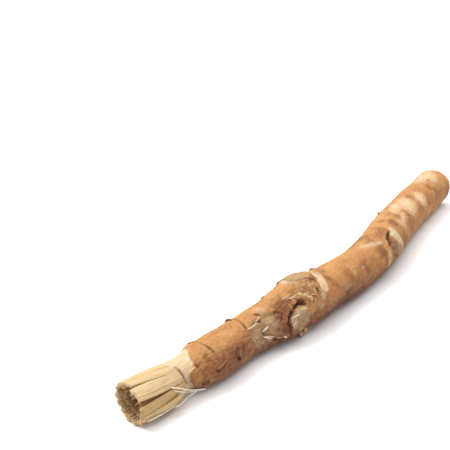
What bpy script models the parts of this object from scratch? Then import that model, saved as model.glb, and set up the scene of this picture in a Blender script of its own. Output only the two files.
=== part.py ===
"""Miswak stick: a chewing stick cut from a root, one end frayed to a brush.

Metres, +Z up.  The stick lies on the ground along X with its brush at -X, and it bows
towards -Y.  The origin is on the ground, under the middle of the stick's box.

A place on the stick is given by its distance from the brush's tip along X, and by an
angle round the stick in degrees, from straight up and positive towards +Y.  Distances
and heights in the lists below are in millimetres.
"""
import math

import bmesh
import bpy
from mathutils import Matrix, Vector, noise

MM = 0.001

# Driving dimensions
LENGTH = 160.0
HOLLOW_DEPTH = 5.5
BARK_THICKNESS = 0.4
BRISTLE_THICKNESS = 1.35
SIDES = 26
END_ROUNDING = 1.2
WOOD_COLOUR = (0.62, 0.36, 0.17, 1.0)
WOOD_ROUGHNESS = 0.75

# The middle line: distance from the brush's tip, sideways place, height
MIDDLE_LINE = (
    (0, 4.85, 4.45), (6, 4.1, 4.6), (14.5, 3.2, 4.9), (22, 1.8, 4.82), (34, 0.9, 4.95),
    (47, -1.1, 5.35), (56, -2.3, 5.95), (64, -3.1, 5.8), (80, -4.0, 5.32), (94, -3.6, 5.68),
    (106, -1.9, 6.0), (124, 0.7, 5.85), (142, 2.5, 5.72), (160, 4.3, 5.68),
)
# Radius of the wood and bark along the stick, from the floor of the brush's hollow
GIRTH = (
    (5.5, 2.5), (9, 3.3), (12.5, 3.7), (15.5, 3.6), (18, 4.05), (20.5, 4.45), (24, 4.6),
    (34, 4.4), (47, 5.0), (54, 5.55), (58, 5.55), (64, 5.25), (80, 5.05), (94, 5.3),
    (106, 5.55), (124, 5.4), (142, 5.4), (LENGTH - END_ROUNDING, 5.45), (LENGTH, 4.9),
)
# How far apart the rings of the mesh are: from this distance on, the step
RING_STEPS = ((5.5, 1.4), (14, 0.9), (34, 1.1), (42, 0.85), (58, 1.5), (66, 2.7), (87, 1.1), (101, 2.9))

# Where the bark starts above the peeled neck: its lowest distance, how much further along
# it starts on the high side, the angle of that side, and the length of its edge's slope
BARK_EDGE = 15.0
BARK_EDGE_RISE = 4.6
BARK_EDGE_ANGLE = 62
BARK_EDGE_SLOPE = 0.35
# Lumps and dents that fade out softly: distance, angle, half length, half angle, height
SWELLINGS = (
    (52.5, 12, 7.5, 48, 0.75), (53.4, 6, 3.6, 26, 1.5), (47.4, -84, 3.3, 37, 1.35),
    (57, -70, 4.5, 45, 0.35), (43, -42, 3.6, 27, -0.75), (44.2, -122, 3.0, 20, 0.3),
    (94, -72, 4.5, 42, 0.65), (99, -25, 4.0, 45, 0.35), (89, -82, 2.0, 30, 0.45),
    (105, -100, 7.0, 60, 0.3), (27, -75, 3.0, 40, 0.2), (31, -80, 2.0, 30, -0.25),
    (63, 120, 9.0, 55, 0.5), (76, -130, 8.0, 40, 0.25), (118, 130, 7.0, 50, 0.45),
    (136, 60, 6.0, 50, 0.3), (155.5, -78, 2.6, 30, 0.4), (38, 130, 6.0, 45, 0.35),
)
# Places where the bark is off, with a clear edge: distance, angle, half length, half angle
BARE_PATCHES = (
    (37.4, -74, 5.3, 52), (58.6, -29, 5.0, 11), (122, -14, 8.0, 24), (134, -38, 6.0, 15),
    (151.5, 6, 6.5, 30), (70, 150, 9.0, 26), (30, 150, 4.0, 20), (104, 95, 6.5, 22),
    (98.5, -50, 3.6, 24),
)
# Unevenness of the bark, and how much more there is at the knots: distance, half length, extra
EVEN_BARK = 0.16
ROUGH_KNOTS = ((51, 9.0, 0.3), (94, 7.0, 0.1))
NOISE_ALONG = 0.32
NOISE_ROUND = 1.5
# A patch's edge starts and ends at these shares of its half sizes
PATCH_EDGE = (0.8, 1.1)
# Cracks that run part of the way round: distance, first angle, last angle, depth
RING_CRACKS = ((20.5, -48, 75, 0.5), (32.4, -42, 65, 0.5), (88, -30, 20, 0.25), (68, 100, 170, 0.35))
CRACK_HALF_WIDTH = 0.45
CRACK_WANDER = 0.5
CRACK_FADE = 8
# The raised lip beyond each crack: its distance from it, half width, share of its depth
LIP_PLACE = 0.9
LIP_HALF_WIDTH = 0.7
LIP_SHARE = 0.6

# The brush's bristle bundles: angle at the tip, angle at the root, half width in degrees,
# distance of the tip, radius at the tip, how far the root half stands out
BRISTLES = (
    (19, -6, 20, 1.1, 4.5, 0.0), (-37, -55, 21, 0.4, 4.55, 0.0), (-84, -90, 16, 0.4, 4.3, 0.0),
    (-122, -122, 17, 1.2, 4.3, 0.8), (-160, -158, 18, 2.1, 4.25, 0.2), (162, 164, 17, 2.7, 4.3, 0.0),
    (126, 124, 16, 2.9, 4.3, 0.0), (91, 84, 16, 2.7, 4.3, 0.0), (56, 42, 15, 2.1, 4.45, 0.0),
)
BRISTLE_ROOT = 12.9
BRISTLE_ROOT_RADIUS = 3.75
# Width of a bundle's tip and of its root as shares of the listed one, how much further
# one corner of the tip reaches, and how much lower the long edges are than the middle
TIP_SHARE = 0.9
ROOT_SHARE = 1.25
TIP_SKEW = 0.4
BUNDLE_CROWN = 0.15

# Side shoots cut off flat: distance, angle, height of the cut above the middle line,
# slope of the cut along the stick and across it, span of the cut
SHOOT_CUTS = ((53.4, 4, 6.8, 0.05, 0.0, 12.0), (47.6, -82, 6.05, 0.15, 0.0, 8.4))
CUT_DEPTH = 6.0

# Crevices, each along a row of places: distance, angle, radius of the gap, whose middle
# line is this far under the surface
CREVICE_DEPTH = 0.15
CREVICES = (
    (
        (50.6, -41, 0.5), (48.9, -42, 1.3), (46.2, -47, 1.1), (44.3, -61, 0.75),
        (43.9, -82, 0.7), (44.4, -104, 0.5),
    ),
    ((51.8, -25, 0.35), (54.0, -27, 0.45), (56.4, -22, 0.5), (57.9, -13, 0.75), (58.6, -6, 0.4)),
    ((96.2, -30, 0.35), (94.3, -40, 0.85), (92.2, -53, 0.7), (91.4, -64, 0.3)),
    ((35.4, -12, 0.3), (38.4, -11, 0.75), (39.6, -16, 0.4)),
)

# Pits, hollowed by an ellipsoid: distance, angle, height of its middle above the middle
# line, half sizes along the stick, outwards and round it
PITS = (
    (94.6, -76, 6.2, 2.4, 1.3, 2.8), (67.4, -82, 5.5, 1.5, 0.6, 0.9), (17.6, -117, 4.2, 1.5, 0.5, 0.6),
    (112, 160, 5.8, 2.2, 0.8, 1.2),
)

# Lips and curls of bark that stand up: distance, angle, length, width, thickness,
# height of the free edge, turn about the outward line in degrees
FLAKES = (
    (20.2, 44, 3.4, 1.7, 0.4, 0.6, 96), (31.8, 42, 3.0, 1.5, 0.4, 0.55, 86),
    (35.6, -29, 7.0, 1.0, 0.35, 0.35, 25), (50.2, 47, 1.6, 0.9, 0.35, 1.0, 130),
    (112.8, 52, 1.8, 1.0, 0.35, 0.75, 60), (51.0, -126, 3.0, 1.8, 0.45, 0.9, 150),
    (41.8, 128, 3.0, 1.4, 0.4, 0.45, 80),
)

# A flake's foot goes this deep, its free edge is this much shorter, and it bends this much
FLAKE_FOOT = 0.75
FLAKE_TAPER = 0.25
FLAKE_BEND = 0.05

# Stiff fibres split from the brush's roots: distance, angle, radius at the root, then at
# the tip, and the thickness of the root
FIBRES = (
    ((8.6, -72, 4.1), (16.4, -113, 5.75), 0.55),
    ((9.0, -126, 4.7), (14.2, -124, 4.75), 0.6),
)
FIBRE_TIP_SHARE = 0.4

GROUND_THICKNESS = 10.0


def smooth_step(low, high, value):
    """0 below low, 1 above high, and an S curve between."""
    part = min(max((value - low) / (high - low), 0.0), 1.0)
    return part * part * (3.0 - 2.0 * part)


def along(table, distance):
    """The smooth curve through a table's rows, read at a distance along the stick."""
    rows = [Vector(row[1:] + (0.0,) * (3 - len(row))) for row in table]
    places = [row[0] for row in table]
    last = len(places) - 1
    distance = min(max(distance, places[0]), places[last])
    index = max(i for i in range(last) if places[i] <= distance)

    def slope(i):
        before, after = max(i - 1, 0), min(i + 1, last)
        return (rows[after] - rows[before]) / (places[after] - places[before])

    span = places[index + 1] - places[index]
    part = (distance - places[index]) / span
    rise = rows[index + 1] - rows[index]
    start, end = slope(index) * span, slope(index + 1) * span
    return rows[index] + start * part + (3 * rise - 2 * start - end) * part**2 + (
        start + end - 2 * rise) * part**3


def middle(distance):
    """A point of the middle line, in millimetres."""
    sideways, height = along(MIDDLE_LINE, distance)[:]
    return Vector((distance - LENGTH / 2, sideways, height))


def girth(distance):
    """The stick's plain radius at a distance, in millimetres."""
    return along(GIRTH, distance)[0]


def outward(angle):
    """The direction straight out of the stick at an angle in degrees."""
    return Vector((0.0, math.sin(math.radians(angle)), math.cos(math.radians(angle))))


def place(distance, angle, radius):
    """A point in metres from its distance, angle and radius."""
    return (middle(distance) + outward(angle) * radius) * MM


def apart(angle, other):
    """The difference of two angles, from -180 to 180 degrees."""
    return (angle - other + 180.0) % 360.0 - 180.0


def bark_start(angle):
    """Where the bark begins above the peeled neck: further along on the upper side."""
    facing_side = 0.5 + 0.5 * math.cos(math.radians(angle - BARK_EDGE_ANGLE))
    return BARK_EDGE + BARK_EDGE_RISE * facing_side**1.3


def relief(distance, angle):
    """How far the surface stands out of the plain round stick, in millimetres."""
    height = BARK_THICKNESS * smooth_step(-BARK_EDGE_SLOPE, BARK_EDGE_SLOPE, distance - bark_start(angle))
    for at, turn, half_length, half_angle, rise in SWELLINGS:
        spread = ((distance - at) / half_length) ** 2 + (apart(angle, turn) / half_angle) ** 2
        height += rise * math.exp(-spread)
    for at, turn, half_length, half_angle in BARE_PATCHES:
        reach = math.hypot((distance - at) / half_length, apart(angle, turn) / half_angle)
        height -= BARK_THICKNESS * (1.0 - smooth_step(*PATCH_EDGE, reach))
    for at, first, last, depth in RING_CRACKS:
        inside = smooth_step(first - CRACK_FADE, first + CRACK_FADE, angle)
        inside *= 1.0 - smooth_step(last - CRACK_FADE, last + CRACK_FADE, angle)
        gap = distance - at - CRACK_WANDER * math.sin(math.radians(angle * 3.0))
        lip = math.exp(-(((gap - LIP_PLACE) / LIP_HALF_WIDTH) ** 2))
        height += inside * depth * (LIP_SHARE * lip - math.exp(-((gap / CRACK_HALF_WIDTH) ** 2)))
    unevenness = EVEN_BARK
    for at, half_length, extra in ROUGH_KNOTS:
        unevenness += extra * math.exp(-(((distance - at) / half_length) ** 2))
    unevenness *= smooth_step(BARK_EDGE - 2.0, BARK_EDGE + 3.0, distance)
    spot = outward(angle) * NOISE_ROUND
    return height + unevenness * noise.noise(Vector((distance * NOISE_ALONG, spot.y, spot.z)))


def link(piece, collection):
    """Put a new object in a collection and give it back."""
    collection.objects.link(piece)
    return piece


def object_from(shape, name, collection):
    """Make an object from a bmesh, with its faces pointing out."""
    bmesh.ops.recalc_face_normals(shape, faces=shape.faces)
    mesh = bpy.data.meshes.new(name)
    shape.to_mesh(mesh)
    shape.free()
    return link(bpy.data.objects.new(name, mesh), collection)


def ring_places():
    """The distances of the mesh's rings, close together where the stick is uneven."""
    places = [HOLLOW_DEPTH]
    while True:
        step = [size for start, size in RING_STEPS if places[-1] >= start][-1]
        if places[-1] + step > LENGTH - END_ROUNDING - step / 4:
            break
        places.append(places[-1] + step)
    return places + [LENGTH - END_ROUNDING, LENGTH - END_ROUNDING / 2, LENGTH]


def make_trunk(collection):
    """The stick from the floor of the brush's hollow to the far cut, with its relief."""
    curve = bpy.data.curves.new("trunk", "CURVE")
    curve.dimensions = "3D"
    curve.bevel_depth = MM
    curve.bevel_resolution = (SIDES - 4) // 2
    curve.use_fill_caps = True
    places = ring_places()
    spline = curve.splines.new("POLY")
    spline.points.add(len(places) - 1)
    for point, distance in zip(spline.points, places):
        point.co = (*(middle(distance) * MM), 1.0)
        point.radius = girth(distance)
    guide = link(bpy.data.objects.new("trunk_line", curve), collection)

    solid = guide.evaluated_get(bpy.context.evaluated_depsgraph_get())
    mesh = bpy.data.meshes.new_from_object(solid)
    trunk = link(bpy.data.objects.new("stick", mesh), collection)
    trunk.matrix_world = guide.matrix_world
    bpy.data.objects.remove(guide)

    shape = bmesh.new()
    shape.from_mesh(mesh)
    bmesh.ops.remove_doubles(shape, verts=shape.verts, dist=0.00001)
    for corner in shape.verts:
        distance = corner.co.x / MM + LENGTH / 2
        offset = corner.co / MM - middle(distance)
        angle = math.degrees(math.atan2(offset.y, offset.z))
        corner.co = place(distance, angle, girth(distance) + relief(distance, angle))
    bmesh.ops.recalc_face_normals(shape, faces=shape.faces)
    shape.to_mesh(mesh)
    shape.free()
    return trunk


def make_bristle(number, collection):
    """One flat bundle of the brush, from its split tip to its root at the neck."""
    tip_angle, root_angle, half_width, tip, tip_radius, bulge = BRISTLES[number]
    shape = bmesh.new()
    bmesh.ops.create_grid(shape, x_segments=6, y_segments=4, size=0.5)
    for corner in shape.verts:
        part, across = corner.co.x + 0.5, corner.co.y * 2.0
        skew = TIP_SKEW * across * (1.0 - part) * (-1) ** number
        distance = tip + (BRISTLE_ROOT - tip) * part + skew
        width = half_width * (TIP_SHARE + (ROOT_SHARE - TIP_SHARE) * part)
        angle = tip_angle + (root_angle - tip_angle) * part + width * across
        radius = tip_radius + (BRISTLE_ROOT_RADIUS - tip_radius) * part**1.8
        radius += bulge * math.sin(math.pi * part**1.6) - BUNDLE_CROWN * across**2
        corner.co = place(distance, angle, radius)
    bristle = object_from(shape, f"bristle_{number}", collection)
    if bristle.data.polygons[0].normal.dot(outward(tip_angle)) < 0:
        bristle.data.flip_normals()
    wall = bristle.modifiers.new("thickness", "SOLIDIFY")
    wall.thickness = BRISTLE_THICKNESS * MM
    wall.offset = -1.0
    return bristle


def facing(distance, angle, turn=0.0):
    """A frame at a place: X along the stick, Z straight out, turned about Z."""
    out = outward(angle)
    lengthwise = (middle(distance + 0.5) - middle(distance - 0.5)).normalized()
    lengthwise = (lengthwise - out * lengthwise.dot(out)).normalized()
    frame = Matrix((lengthwise, out.cross(lengthwise), out)).transposed().to_4x4()
    return frame @ Matrix.Rotation(math.radians(turn), 4, "Z")


def make_shoot_cut(number, collection):
    """The knife's way through a side shoot: all above a plane just over the bark."""
    distance, angle, height, slope_along, slope_across, span = SHOOT_CUTS[number]
    shape = bmesh.new()
    bmesh.ops.create_cube(shape, size=1.0)
    size = Matrix.Diagonal((span, span, CUT_DEPTH, 1.0 / MM)) * MM
    lift = Matrix.Translation((0, 0, CUT_DEPTH / 2 * MM))
    tilt = Matrix.Rotation(slope_across, 4, "X") @ Matrix.Rotation(-slope_along, 4, "Y")
    move = Matrix.Translation(place(distance, angle, height)) @ facing(distance, angle) @ tilt
    bmesh.ops.transform(shape, matrix=move @ lift @ size, verts=shape.verts)
    return object_from(shape, f"shoot_cut_{number}", collection)


def make_crevice(number, collection):
    """A winding gap in the bark, swept along its places just under the surface."""
    row = CREVICES[number]
    curve = bpy.data.curves.new(f"crevice_line_{number}", "CURVE")
    curve.dimensions = "3D"
    curve.bevel_depth = MM
    curve.bevel_resolution = 2
    curve.use_fill_caps = True
    spline = curve.splines.new("POLY")
    spline.points.add(len(row) - 1)
    for point, (distance, angle, radius) in zip(spline.points, row):
        height = girth(distance) + relief(distance, angle) - CREVICE_DEPTH
        point.co = (*place(distance, angle, height), 1.0)
        point.radius = radius
    guide = link(bpy.data.objects.new(f"crevice_line_{number}", curve), collection)
    solid = guide.evaluated_get(bpy.context.evaluated_depsgraph_get())
    shape = bmesh.new()
    shape.from_mesh(bpy.data.meshes.new_from_object(solid))
    bpy.data.objects.remove(guide)
    bmesh.ops.remove_doubles(shape, verts=shape.verts, dist=0.00001)
    return object_from(shape, f"crevice_{number}", collection)


def make_flake(number, collection):
    """A curved flake of bark whose foot is in the wood and whose free edge stands up."""
    distance, angle, length, width, thickness, lift, turn = FLAKES[number]
    shape = bmesh.new()
    bmesh.ops.create_grid(shape, x_segments=5, y_segments=3, size=0.5)
    for corner in shape.verts:
        run, rise = corner.co.x, corner.co.y + 0.5
        crown = 1.0 - run * run * rise
        height = -FLAKE_FOOT + (FLAKE_FOOT + lift) * math.sin(rise * math.pi / 2) * crown
        height -= FLAKE_BEND * (run * length) ** 2
        corner.co = Vector((run * length * (1.0 - FLAKE_TAPER * rise), (rise - 0.4) * width, height))
    bmesh.ops.transform(shape, matrix=Matrix.Scale(MM, 4), verts=shape.verts)
    surface = girth(distance) + relief(distance, angle)
    move = Matrix.Translation(place(distance, angle, surface)) @ facing(distance, angle, turn)
    bmesh.ops.transform(shape, matrix=move, verts=shape.verts)
    flake = object_from(shape, f"flake_{number}", collection)
    wall = flake.modifiers.new("thickness", "SOLIDIFY")
    wall.thickness = thickness * MM
    wall.offset = 0.0
    return flake


def make_fibre(number, collection):
    """A stiff fibre split away from the brush, tapering to its tip."""
    root, tip, thickness = FIBRES[number]
    start, end = place(*root), place(*tip)
    run = end - start
    shape = bmesh.new()
    bmesh.ops.create_cone(shape, cap_ends=True, cap_tris=False, segments=6, radius1=thickness / 2 * MM,
                          radius2=thickness / 2 * FIBRE_TIP_SHARE * MM, depth=run.length)
    turn = run.to_track_quat("Z", "Y").to_matrix().to_4x4()
    bmesh.ops.transform(shape, matrix=Matrix.Translation((start + end) / 2) @ turn, verts=shape.verts)
    return object_from(shape, f"fibre_{number}", collection)


def make_pit(number, collection):
    """The hollow of one pit or crevice."""
    distance, angle, radius, half_length, half_depth, half_width = PITS[number]
    shape = bmesh.new()
    bmesh.ops.create_uvsphere(shape, u_segments=12, v_segments=8, radius=MM)
    size = Matrix.Diagonal((half_length, half_width, half_depth, 1.0))
    move = Matrix.Translation(place(distance, angle, radius)) @ facing(distance, angle)
    bmesh.ops.transform(shape, matrix=move @ size, verts=shape.verts)
    return object_from(shape, f"pit_{number}", collection)


def make_ground(collection):
    """The ground below the stick, which wears small flats under its lowest lumps."""
    shape = bmesh.new()
    bmesh.ops.create_cube(shape, size=1.0)
    size = Matrix.Diagonal((2 * LENGTH, LENGTH, GROUND_THICKNESS, 1.0 / MM)) * MM
    drop = Matrix.Translation((0, 0, -GROUND_THICKNESS / 2 * MM))
    bmesh.ops.transform(shape, matrix=drop @ size, verts=shape.verts)
    return object_from(shape, "ground", collection)


def use_cutter(stick, cutter, operation):
    """Join a shape to the stick or cut it away, and keep the shape out of the model."""
    cutter.hide_render = True
    cutter.display_type = "WIRE"
    cut = stick.modifiers.new(cutter.name, "BOOLEAN")
    cut.operation = operation
    cut.solver = "EXACT"
    cut.object = cutter


def wood_material():
    """Golden brown bark, dry and matt."""
    material = bpy.data.materials.new("bark_and_wood")
    material.use_nodes = True
    shader = material.node_tree.nodes["Principled BSDF"]
    shader.inputs["Base Color"].default_value = WOOD_COLOUR
    shader.inputs["Roughness"].default_value = WOOD_ROUGHNESS
    shader.inputs["Metallic"].default_value = 0.0
    material.diffuse_color = WOOD_COLOUR
    return material


def main():
    """Build the stick as one solid, in a collection of its own."""
    for old in list(bpy.data.objects):
        bpy.data.objects.remove(old)
    model = bpy.data.collections.new("miswak_stick")
    cutters = bpy.data.collections.new("cutters")
    for collection in (model, cutters):
        bpy.context.scene.collection.children.link(collection)

    stick = make_trunk(model)
    for number in range(len(BRISTLES)):
        use_cutter(stick, make_bristle(number, cutters), "UNION")
    for number in range(len(SHOOT_CUTS)):
        use_cutter(stick, make_shoot_cut(number, cutters), "DIFFERENCE")
    for number in range(len(CREVICES)):
        use_cutter(stick, make_crevice(number, cutters), "DIFFERENCE")
    for number in range(len(PITS)):
        use_cutter(stick, make_pit(number, cutters), "DIFFERENCE")
    for number in range(len(FLAKES)):
        use_cutter(stick, make_flake(number, cutters), "UNION")
    for number in range(len(FIBRES)):
        use_cutter(stick, make_fibre(number, cutters), "UNION")
    use_cutter(stick, make_ground(cutters), "DIFFERENCE")
    stick.data.materials.append(wood_material())
    stick.data.shade_smooth()
    stick.data.set_sharp_from_angle(angle=math.radians(40))


main()
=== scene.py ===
"""Looks of a miswak stick: a knotty length of root with one end frayed to a brush.

The stick lies along X with its brush at -X.  A place on it is given by its distance in
millimetres from the brush's tip, and by an angle round it in degrees, from straight up
and positive towards +Y, the side that the camera doesn't see.  The tables of the form
hold the same numbers as the solid that this scene dresses.  In the fields, a pair of
numbers that is called a ramp runs from where a thing is absent to where it is full.
"""

import logging
import math
from collections.abc import Sequence
from dataclasses import dataclass, field
from enum import Enum
from itertools import pairwise

import bmesh
import bpy
import numpy as np
from mathutils import Matrix, Vector, noise

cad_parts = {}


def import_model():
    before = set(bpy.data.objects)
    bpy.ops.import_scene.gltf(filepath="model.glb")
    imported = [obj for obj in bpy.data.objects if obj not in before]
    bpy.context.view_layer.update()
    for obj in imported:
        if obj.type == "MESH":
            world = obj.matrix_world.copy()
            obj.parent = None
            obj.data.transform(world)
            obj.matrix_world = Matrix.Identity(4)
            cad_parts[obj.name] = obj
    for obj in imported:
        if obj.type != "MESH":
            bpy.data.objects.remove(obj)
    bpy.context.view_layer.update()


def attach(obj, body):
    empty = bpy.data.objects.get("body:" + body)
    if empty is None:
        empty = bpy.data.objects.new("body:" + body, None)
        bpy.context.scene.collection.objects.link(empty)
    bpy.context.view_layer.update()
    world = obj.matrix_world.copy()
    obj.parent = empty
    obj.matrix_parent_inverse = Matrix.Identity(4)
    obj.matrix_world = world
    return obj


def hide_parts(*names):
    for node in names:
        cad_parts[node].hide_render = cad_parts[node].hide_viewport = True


LOG = logging.getLogger("miswak")
MM = 0.001
ROOT = "root"
NODE = "stick"
# Corners nearer than this, in metres, are one
SEAM = 1e-7
# How far fibres and flakes keep off the floor, in millimetres
CLEARANCE = 0.02
# What the corners of fibres and flakes carry for their finishes: tone, paleness, and a brown that
# is partly painted shade
WEAR_AND_SHADE = ("tone", "bleached", "inside")

Row = tuple[float, ...]
Array = np.ndarray
Shape = bmesh.types.BMesh
Piece = bpy.types.Object
Material = bpy.types.Material
Tints = dict["Tint", Array]


def rgb(red: int, green: int, blue: int) -> Row:
    """A colour of the screen as the linear colour that a shader takes."""
    shares = (part / 255 for part in (red, green, blue))
    return (*(s / 12.92 if s < 0.04045 else ((s + 0.055) / 1.055) ** 2.4 for s in shares), 1.0)


def smooth_step(low: float, high: float, value: Array) -> Array:
    """0 below low, 1 above high, and an S curve between."""
    part = np.clip((value - low) / (high - low), 0.0, 1.0)
    return part * part * (3.0 - 2.0 * part)


def within(value: Array, *ramps: Row) -> Array:
    """1 where every ramp is full, and 0 where one of them is empty."""
    return math.prod(smooth_step(*ramp, value) for ramp in ramps)


def bell(value: Array, middle: float, spread: float) -> Array:
    """1 at the middle, and falling off to both sides over the spread."""
    return np.exp(-(((value - middle) / spread) ** 2))


def covered(reach: Array, edge: float) -> Array:
    """1 well within a reach of 1 and 0 beyond it; edge is how soft the change is."""
    return 1 - smooth_step(1 - edge, 1 + edge / 2, reach)


def apart(angle: Array, other: float) -> Array:
    """The difference of two angles, from -180 to 180 degrees."""
    return (angle - other + 180.0) % 360.0 - 180.0


def unit(rows: Array) -> Array:
    """The rows at a length of 1."""
    return rows / np.linalg.norm(rows, axis=1, keepdims=True)


def clipped(value: float, most: float = 1.0) -> float:
    """A number kept between 0 and the most it may be."""
    return float(np.clip(value, 0, most))


def stain(tints: Tints, tint: "Tint", cover: Array) -> None:
    """Raise a tint to the cover wherever it is weaker."""
    tints[tint] = np.maximum(tints[tint], cover)


class Lumps:
    """Smooth random hills and hollows in space, the same on every run."""

    # cells until they repeat, how far each octave is moved, and what evens the heights out
    CELLS = 256
    SHIFT = 17.3
    GAIN = 1.6

    def __init__(self, seed: int) -> None:
        """Draw the slopes at the corners of the cells.

        Args:
            seed: the number that the draw starts from.
        """
        chance = np.random.default_rng(seed)
        self.slopes = unit(chance.normal(size=(self.CELLS, 3)))
        self.order = chance.permutation(self.CELLS)

    def __call__(self, points: Array, octaves: int = 1) -> Array:
        """Read the heights.

        Args:
            points: places, with their three numbers last.
            octaves: how many times finer lumps of half the height are added.

        Returns:
            Heights, mostly from -1 to 1.
        """
        total = np.zeros(points.shape[:-1])
        for octave in range(octaves):
            total += self._one(points * 2.0**octave + self.SHIFT * octave) / 2.0**octave
        return total

    def _one(self, points: Array) -> Array:
        """Read one layer of lumps, with a cell to each unit of length.

        Args:
            points: places, with their three numbers last.

        Returns:
            Heights, mostly from -1 to 1.
        """
        cell, mask = np.floor(points).astype(int), self.CELLS - 1
        inside = points - cell
        ease = inside**3 * (inside * (inside * 6 - 15) + 10)
        total = np.zeros(points.shape[:-1])
        for corner in np.ndindex(2, 2, 2):
            x, y, z = np.moveaxis(cell + corner, -1, 0)
            key = self.order[(self.order[(self.order[x & mask] + y) & mask] + z) & mask]
            rise = ((inside - corner) * self.slopes[key]).sum(-1)
            total += rise * np.where(corner, ease, 1 - ease).prod(-1)
        return total * self.GAIN


@dataclass(frozen=True)
class Stem:
    """The middle line and plain thickness of the stick, which every piece is placed on."""

    length: float = 160.0
    # distance, and the place across and up
    line: Sequence[Row] = (
        (0, 4.85, 4.45), (6, 4.1, 4.6), (14.5, 3.2, 4.9), (22, 1.8, 4.82), (34, 0.9, 4.95),
        (47, -1.1, 5.35), (56, -2.3, 5.95), (64, -3.1, 5.8), (80, -4, 5.32), (94, -3.6, 5.68),
        (106, -1.9, 6), (124, 0.7, 5.85), (142, 2.5, 5.72), (160, 4.3, 5.68),
    )
    # distance and radius
    girths: Sequence[Row] = (
        (5.5, 2.5), (9, 3.3), (12.5, 3.7), (15.5, 3.6), (18, 4.05), (20.5, 4.45), (24, 4.6),
        (34, 4.4), (47, 5), (54, 5.55), (58, 5.55), (64, 5.25), (80, 5.05), (94, 5.3), (106, 5.55),
        (124, 5.4), (142, 5.4), (158.8, 5.45), (160, 4.9),
    )

    def read(self, table: Sequence[Row], distance: Array) -> Array:
        """Read the smooth curve through a table's rows.

        Args:
            table: rows of a distance and the values there.
            distance: where to read, in millimetres.

        Returns:
            The values, in a last axis of their own.
        """
        rows = np.array(table, float)
        places, values = rows[:, 0], rows[:, 1:]
        after = np.minimum(np.arange(len(rows)) + 1, len(rows) - 1)
        before = np.maximum(np.arange(len(rows)) - 1, 0)
        slopes = (values[after] - values[before]) / (places[after] - places[before])[:, None]
        at = np.clip(np.asarray(distance, float), places[0], places[-1])
        index = np.clip(np.searchsorted(places, at, side="right") - 1, 0, len(rows) - 2)
        span = (places[index + 1] - places[index])[..., None]
        part = (at[..., None] - places[index][..., None]) / span
        rise = values[index + 1] - values[index]
        start, end = slopes[index] * span, slopes[index + 1] * span
        curve = start * part + (3 * rise - 2 * start - end) * part**2
        return values[index] + curve + (start + end - 2 * rise) * part**3

    def girth(self, distance: Array) -> Array:
        """The plain radius at distances, in millimetres."""
        return self.read(self.girths, distance)[..., 0]

    def middle(self, distance: Array) -> Array:
        """Points of the middle line, in millimetres."""
        along = np.asarray(distance, float)[..., None] - self.length / 2
        return np.concatenate([along, self.read(self.line, distance)], -1)

    @staticmethod
    def outward(angle: Array) -> Array:
        """The directions straight out of the stick at angles in degrees."""
        turn = np.radians(np.asarray(angle, float))
        return np.stack([np.zeros_like(turn), np.sin(turn), np.cos(turn)], -1)

    def place(self, distance: Array, angle: Array, radius: Array) -> Array:
        """Points in millimetres from their distances, angles and radii."""
        return self.middle(distance) + self.outward(angle) * np.asarray(radius, float)[..., None]

    def facing(self, distance: float, angle: float, turn: float = 0.0) -> Matrix:
        """Find how a thing on the surface is turned.

        Args:
            distance: its distance.
            angle: its angle.
            turn: how far it is turned about its own Z, in degrees.

        Returns:
            A turn that takes X along the stick and Z straight out of it.
        """
        out = Vector(self.outward(angle))
        run = Vector(self.middle(distance + 0.5) - self.middle(distance - 0.5)).normalized()
        run = (run - out * run.dot(out)).normalized()
        frame = Matrix((run, out.cross(run), out)).transposed().to_4x4()
        return frame @ Matrix.Rotation(math.radians(turn), 4, "Z")


STEM = Stem()


class Tint(Enum):
    """What the bark's finish mixes over its own colour, in the order of mixing."""

    LIGHT = "light"
    GOLD = "gold"
    BARE = "bare"
    OLIVE = "olive"
    RUST_AND_SHADE = "rust"
    PALE = "pale"
    DARK = "dark"


@dataclass(frozen=True)
class Patch:
    """A rounded place on the surface, measured in millimetres along and round the stick."""

    tint: Tint
    distance: float
    angle: float
    half_length: float
    half_width: float
    strength: float = 1.0
    turn: float = 0.0
    edge: float = 0.8
    fray: float = 0.4
    square: float = 2.0
    rise: float = 0.0

    def cover(self, distance: Array, angle: Array, ragged: Array) -> Array:
        """Find how far the patch covers places.

        Args:
            distance: distances of the places.
            angle: their angles.
            ragged: lumps that fray the patch's edge.

        Returns:
            The cover, from 0 to the patch's strength.
        """
        run = distance - self.distance
        side = np.radians(apart(angle, self.angle)) * float(STEM.girth(self.distance))
        turn = math.radians(self.turn)
        long = (run * math.cos(turn) + side * math.sin(turn)) / self.half_length
        wide = (side * math.cos(turn) - run * math.sin(turn)) / self.half_width
        reach = (abs(long) ** self.square + abs(wide) ** self.square) ** (1 / self.square)
        return self.strength * covered(reach + self.fray * ragged, self.edge)


@dataclass(frozen=True)
class Stroke:
    """A line over the surface through places: distance, angle and half width."""

    tint: Tint
    places: Sequence[Row]
    strength: float
    edge: float
    fray: float
    depth: float = 0.0
    lip: float = 0.0
    # the radius at which angles are taken as lengths
    radius: float = 5.0

    def reach(self, distance: Array, angle: Array) -> Array:
        """Find how far places lie from the line.

        Args:
            distance: distances of the places.
            angle: their angles.

        Returns:
            How far they lie from it, as shares of its half width there.
        """
        nearest = np.full(distance.shape, np.inf)
        spots = np.stack([distance, np.radians(angle) * self.radius], -1)
        for first, last in pairwise(self.places):
            start = np.array((first[0], math.radians(first[1]) * self.radius))
            run = np.array((last[0], math.radians(last[1]) * self.radius)) - start
            part = np.clip((spots - start) @ run / (run @ run), 0, 1)
            gap = np.linalg.norm(spots - start - run * part[..., None], axis=-1)
            nearest = np.minimum(nearest, gap / (first[2] + (last[2] - first[2]) * part))
        return nearest


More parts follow.
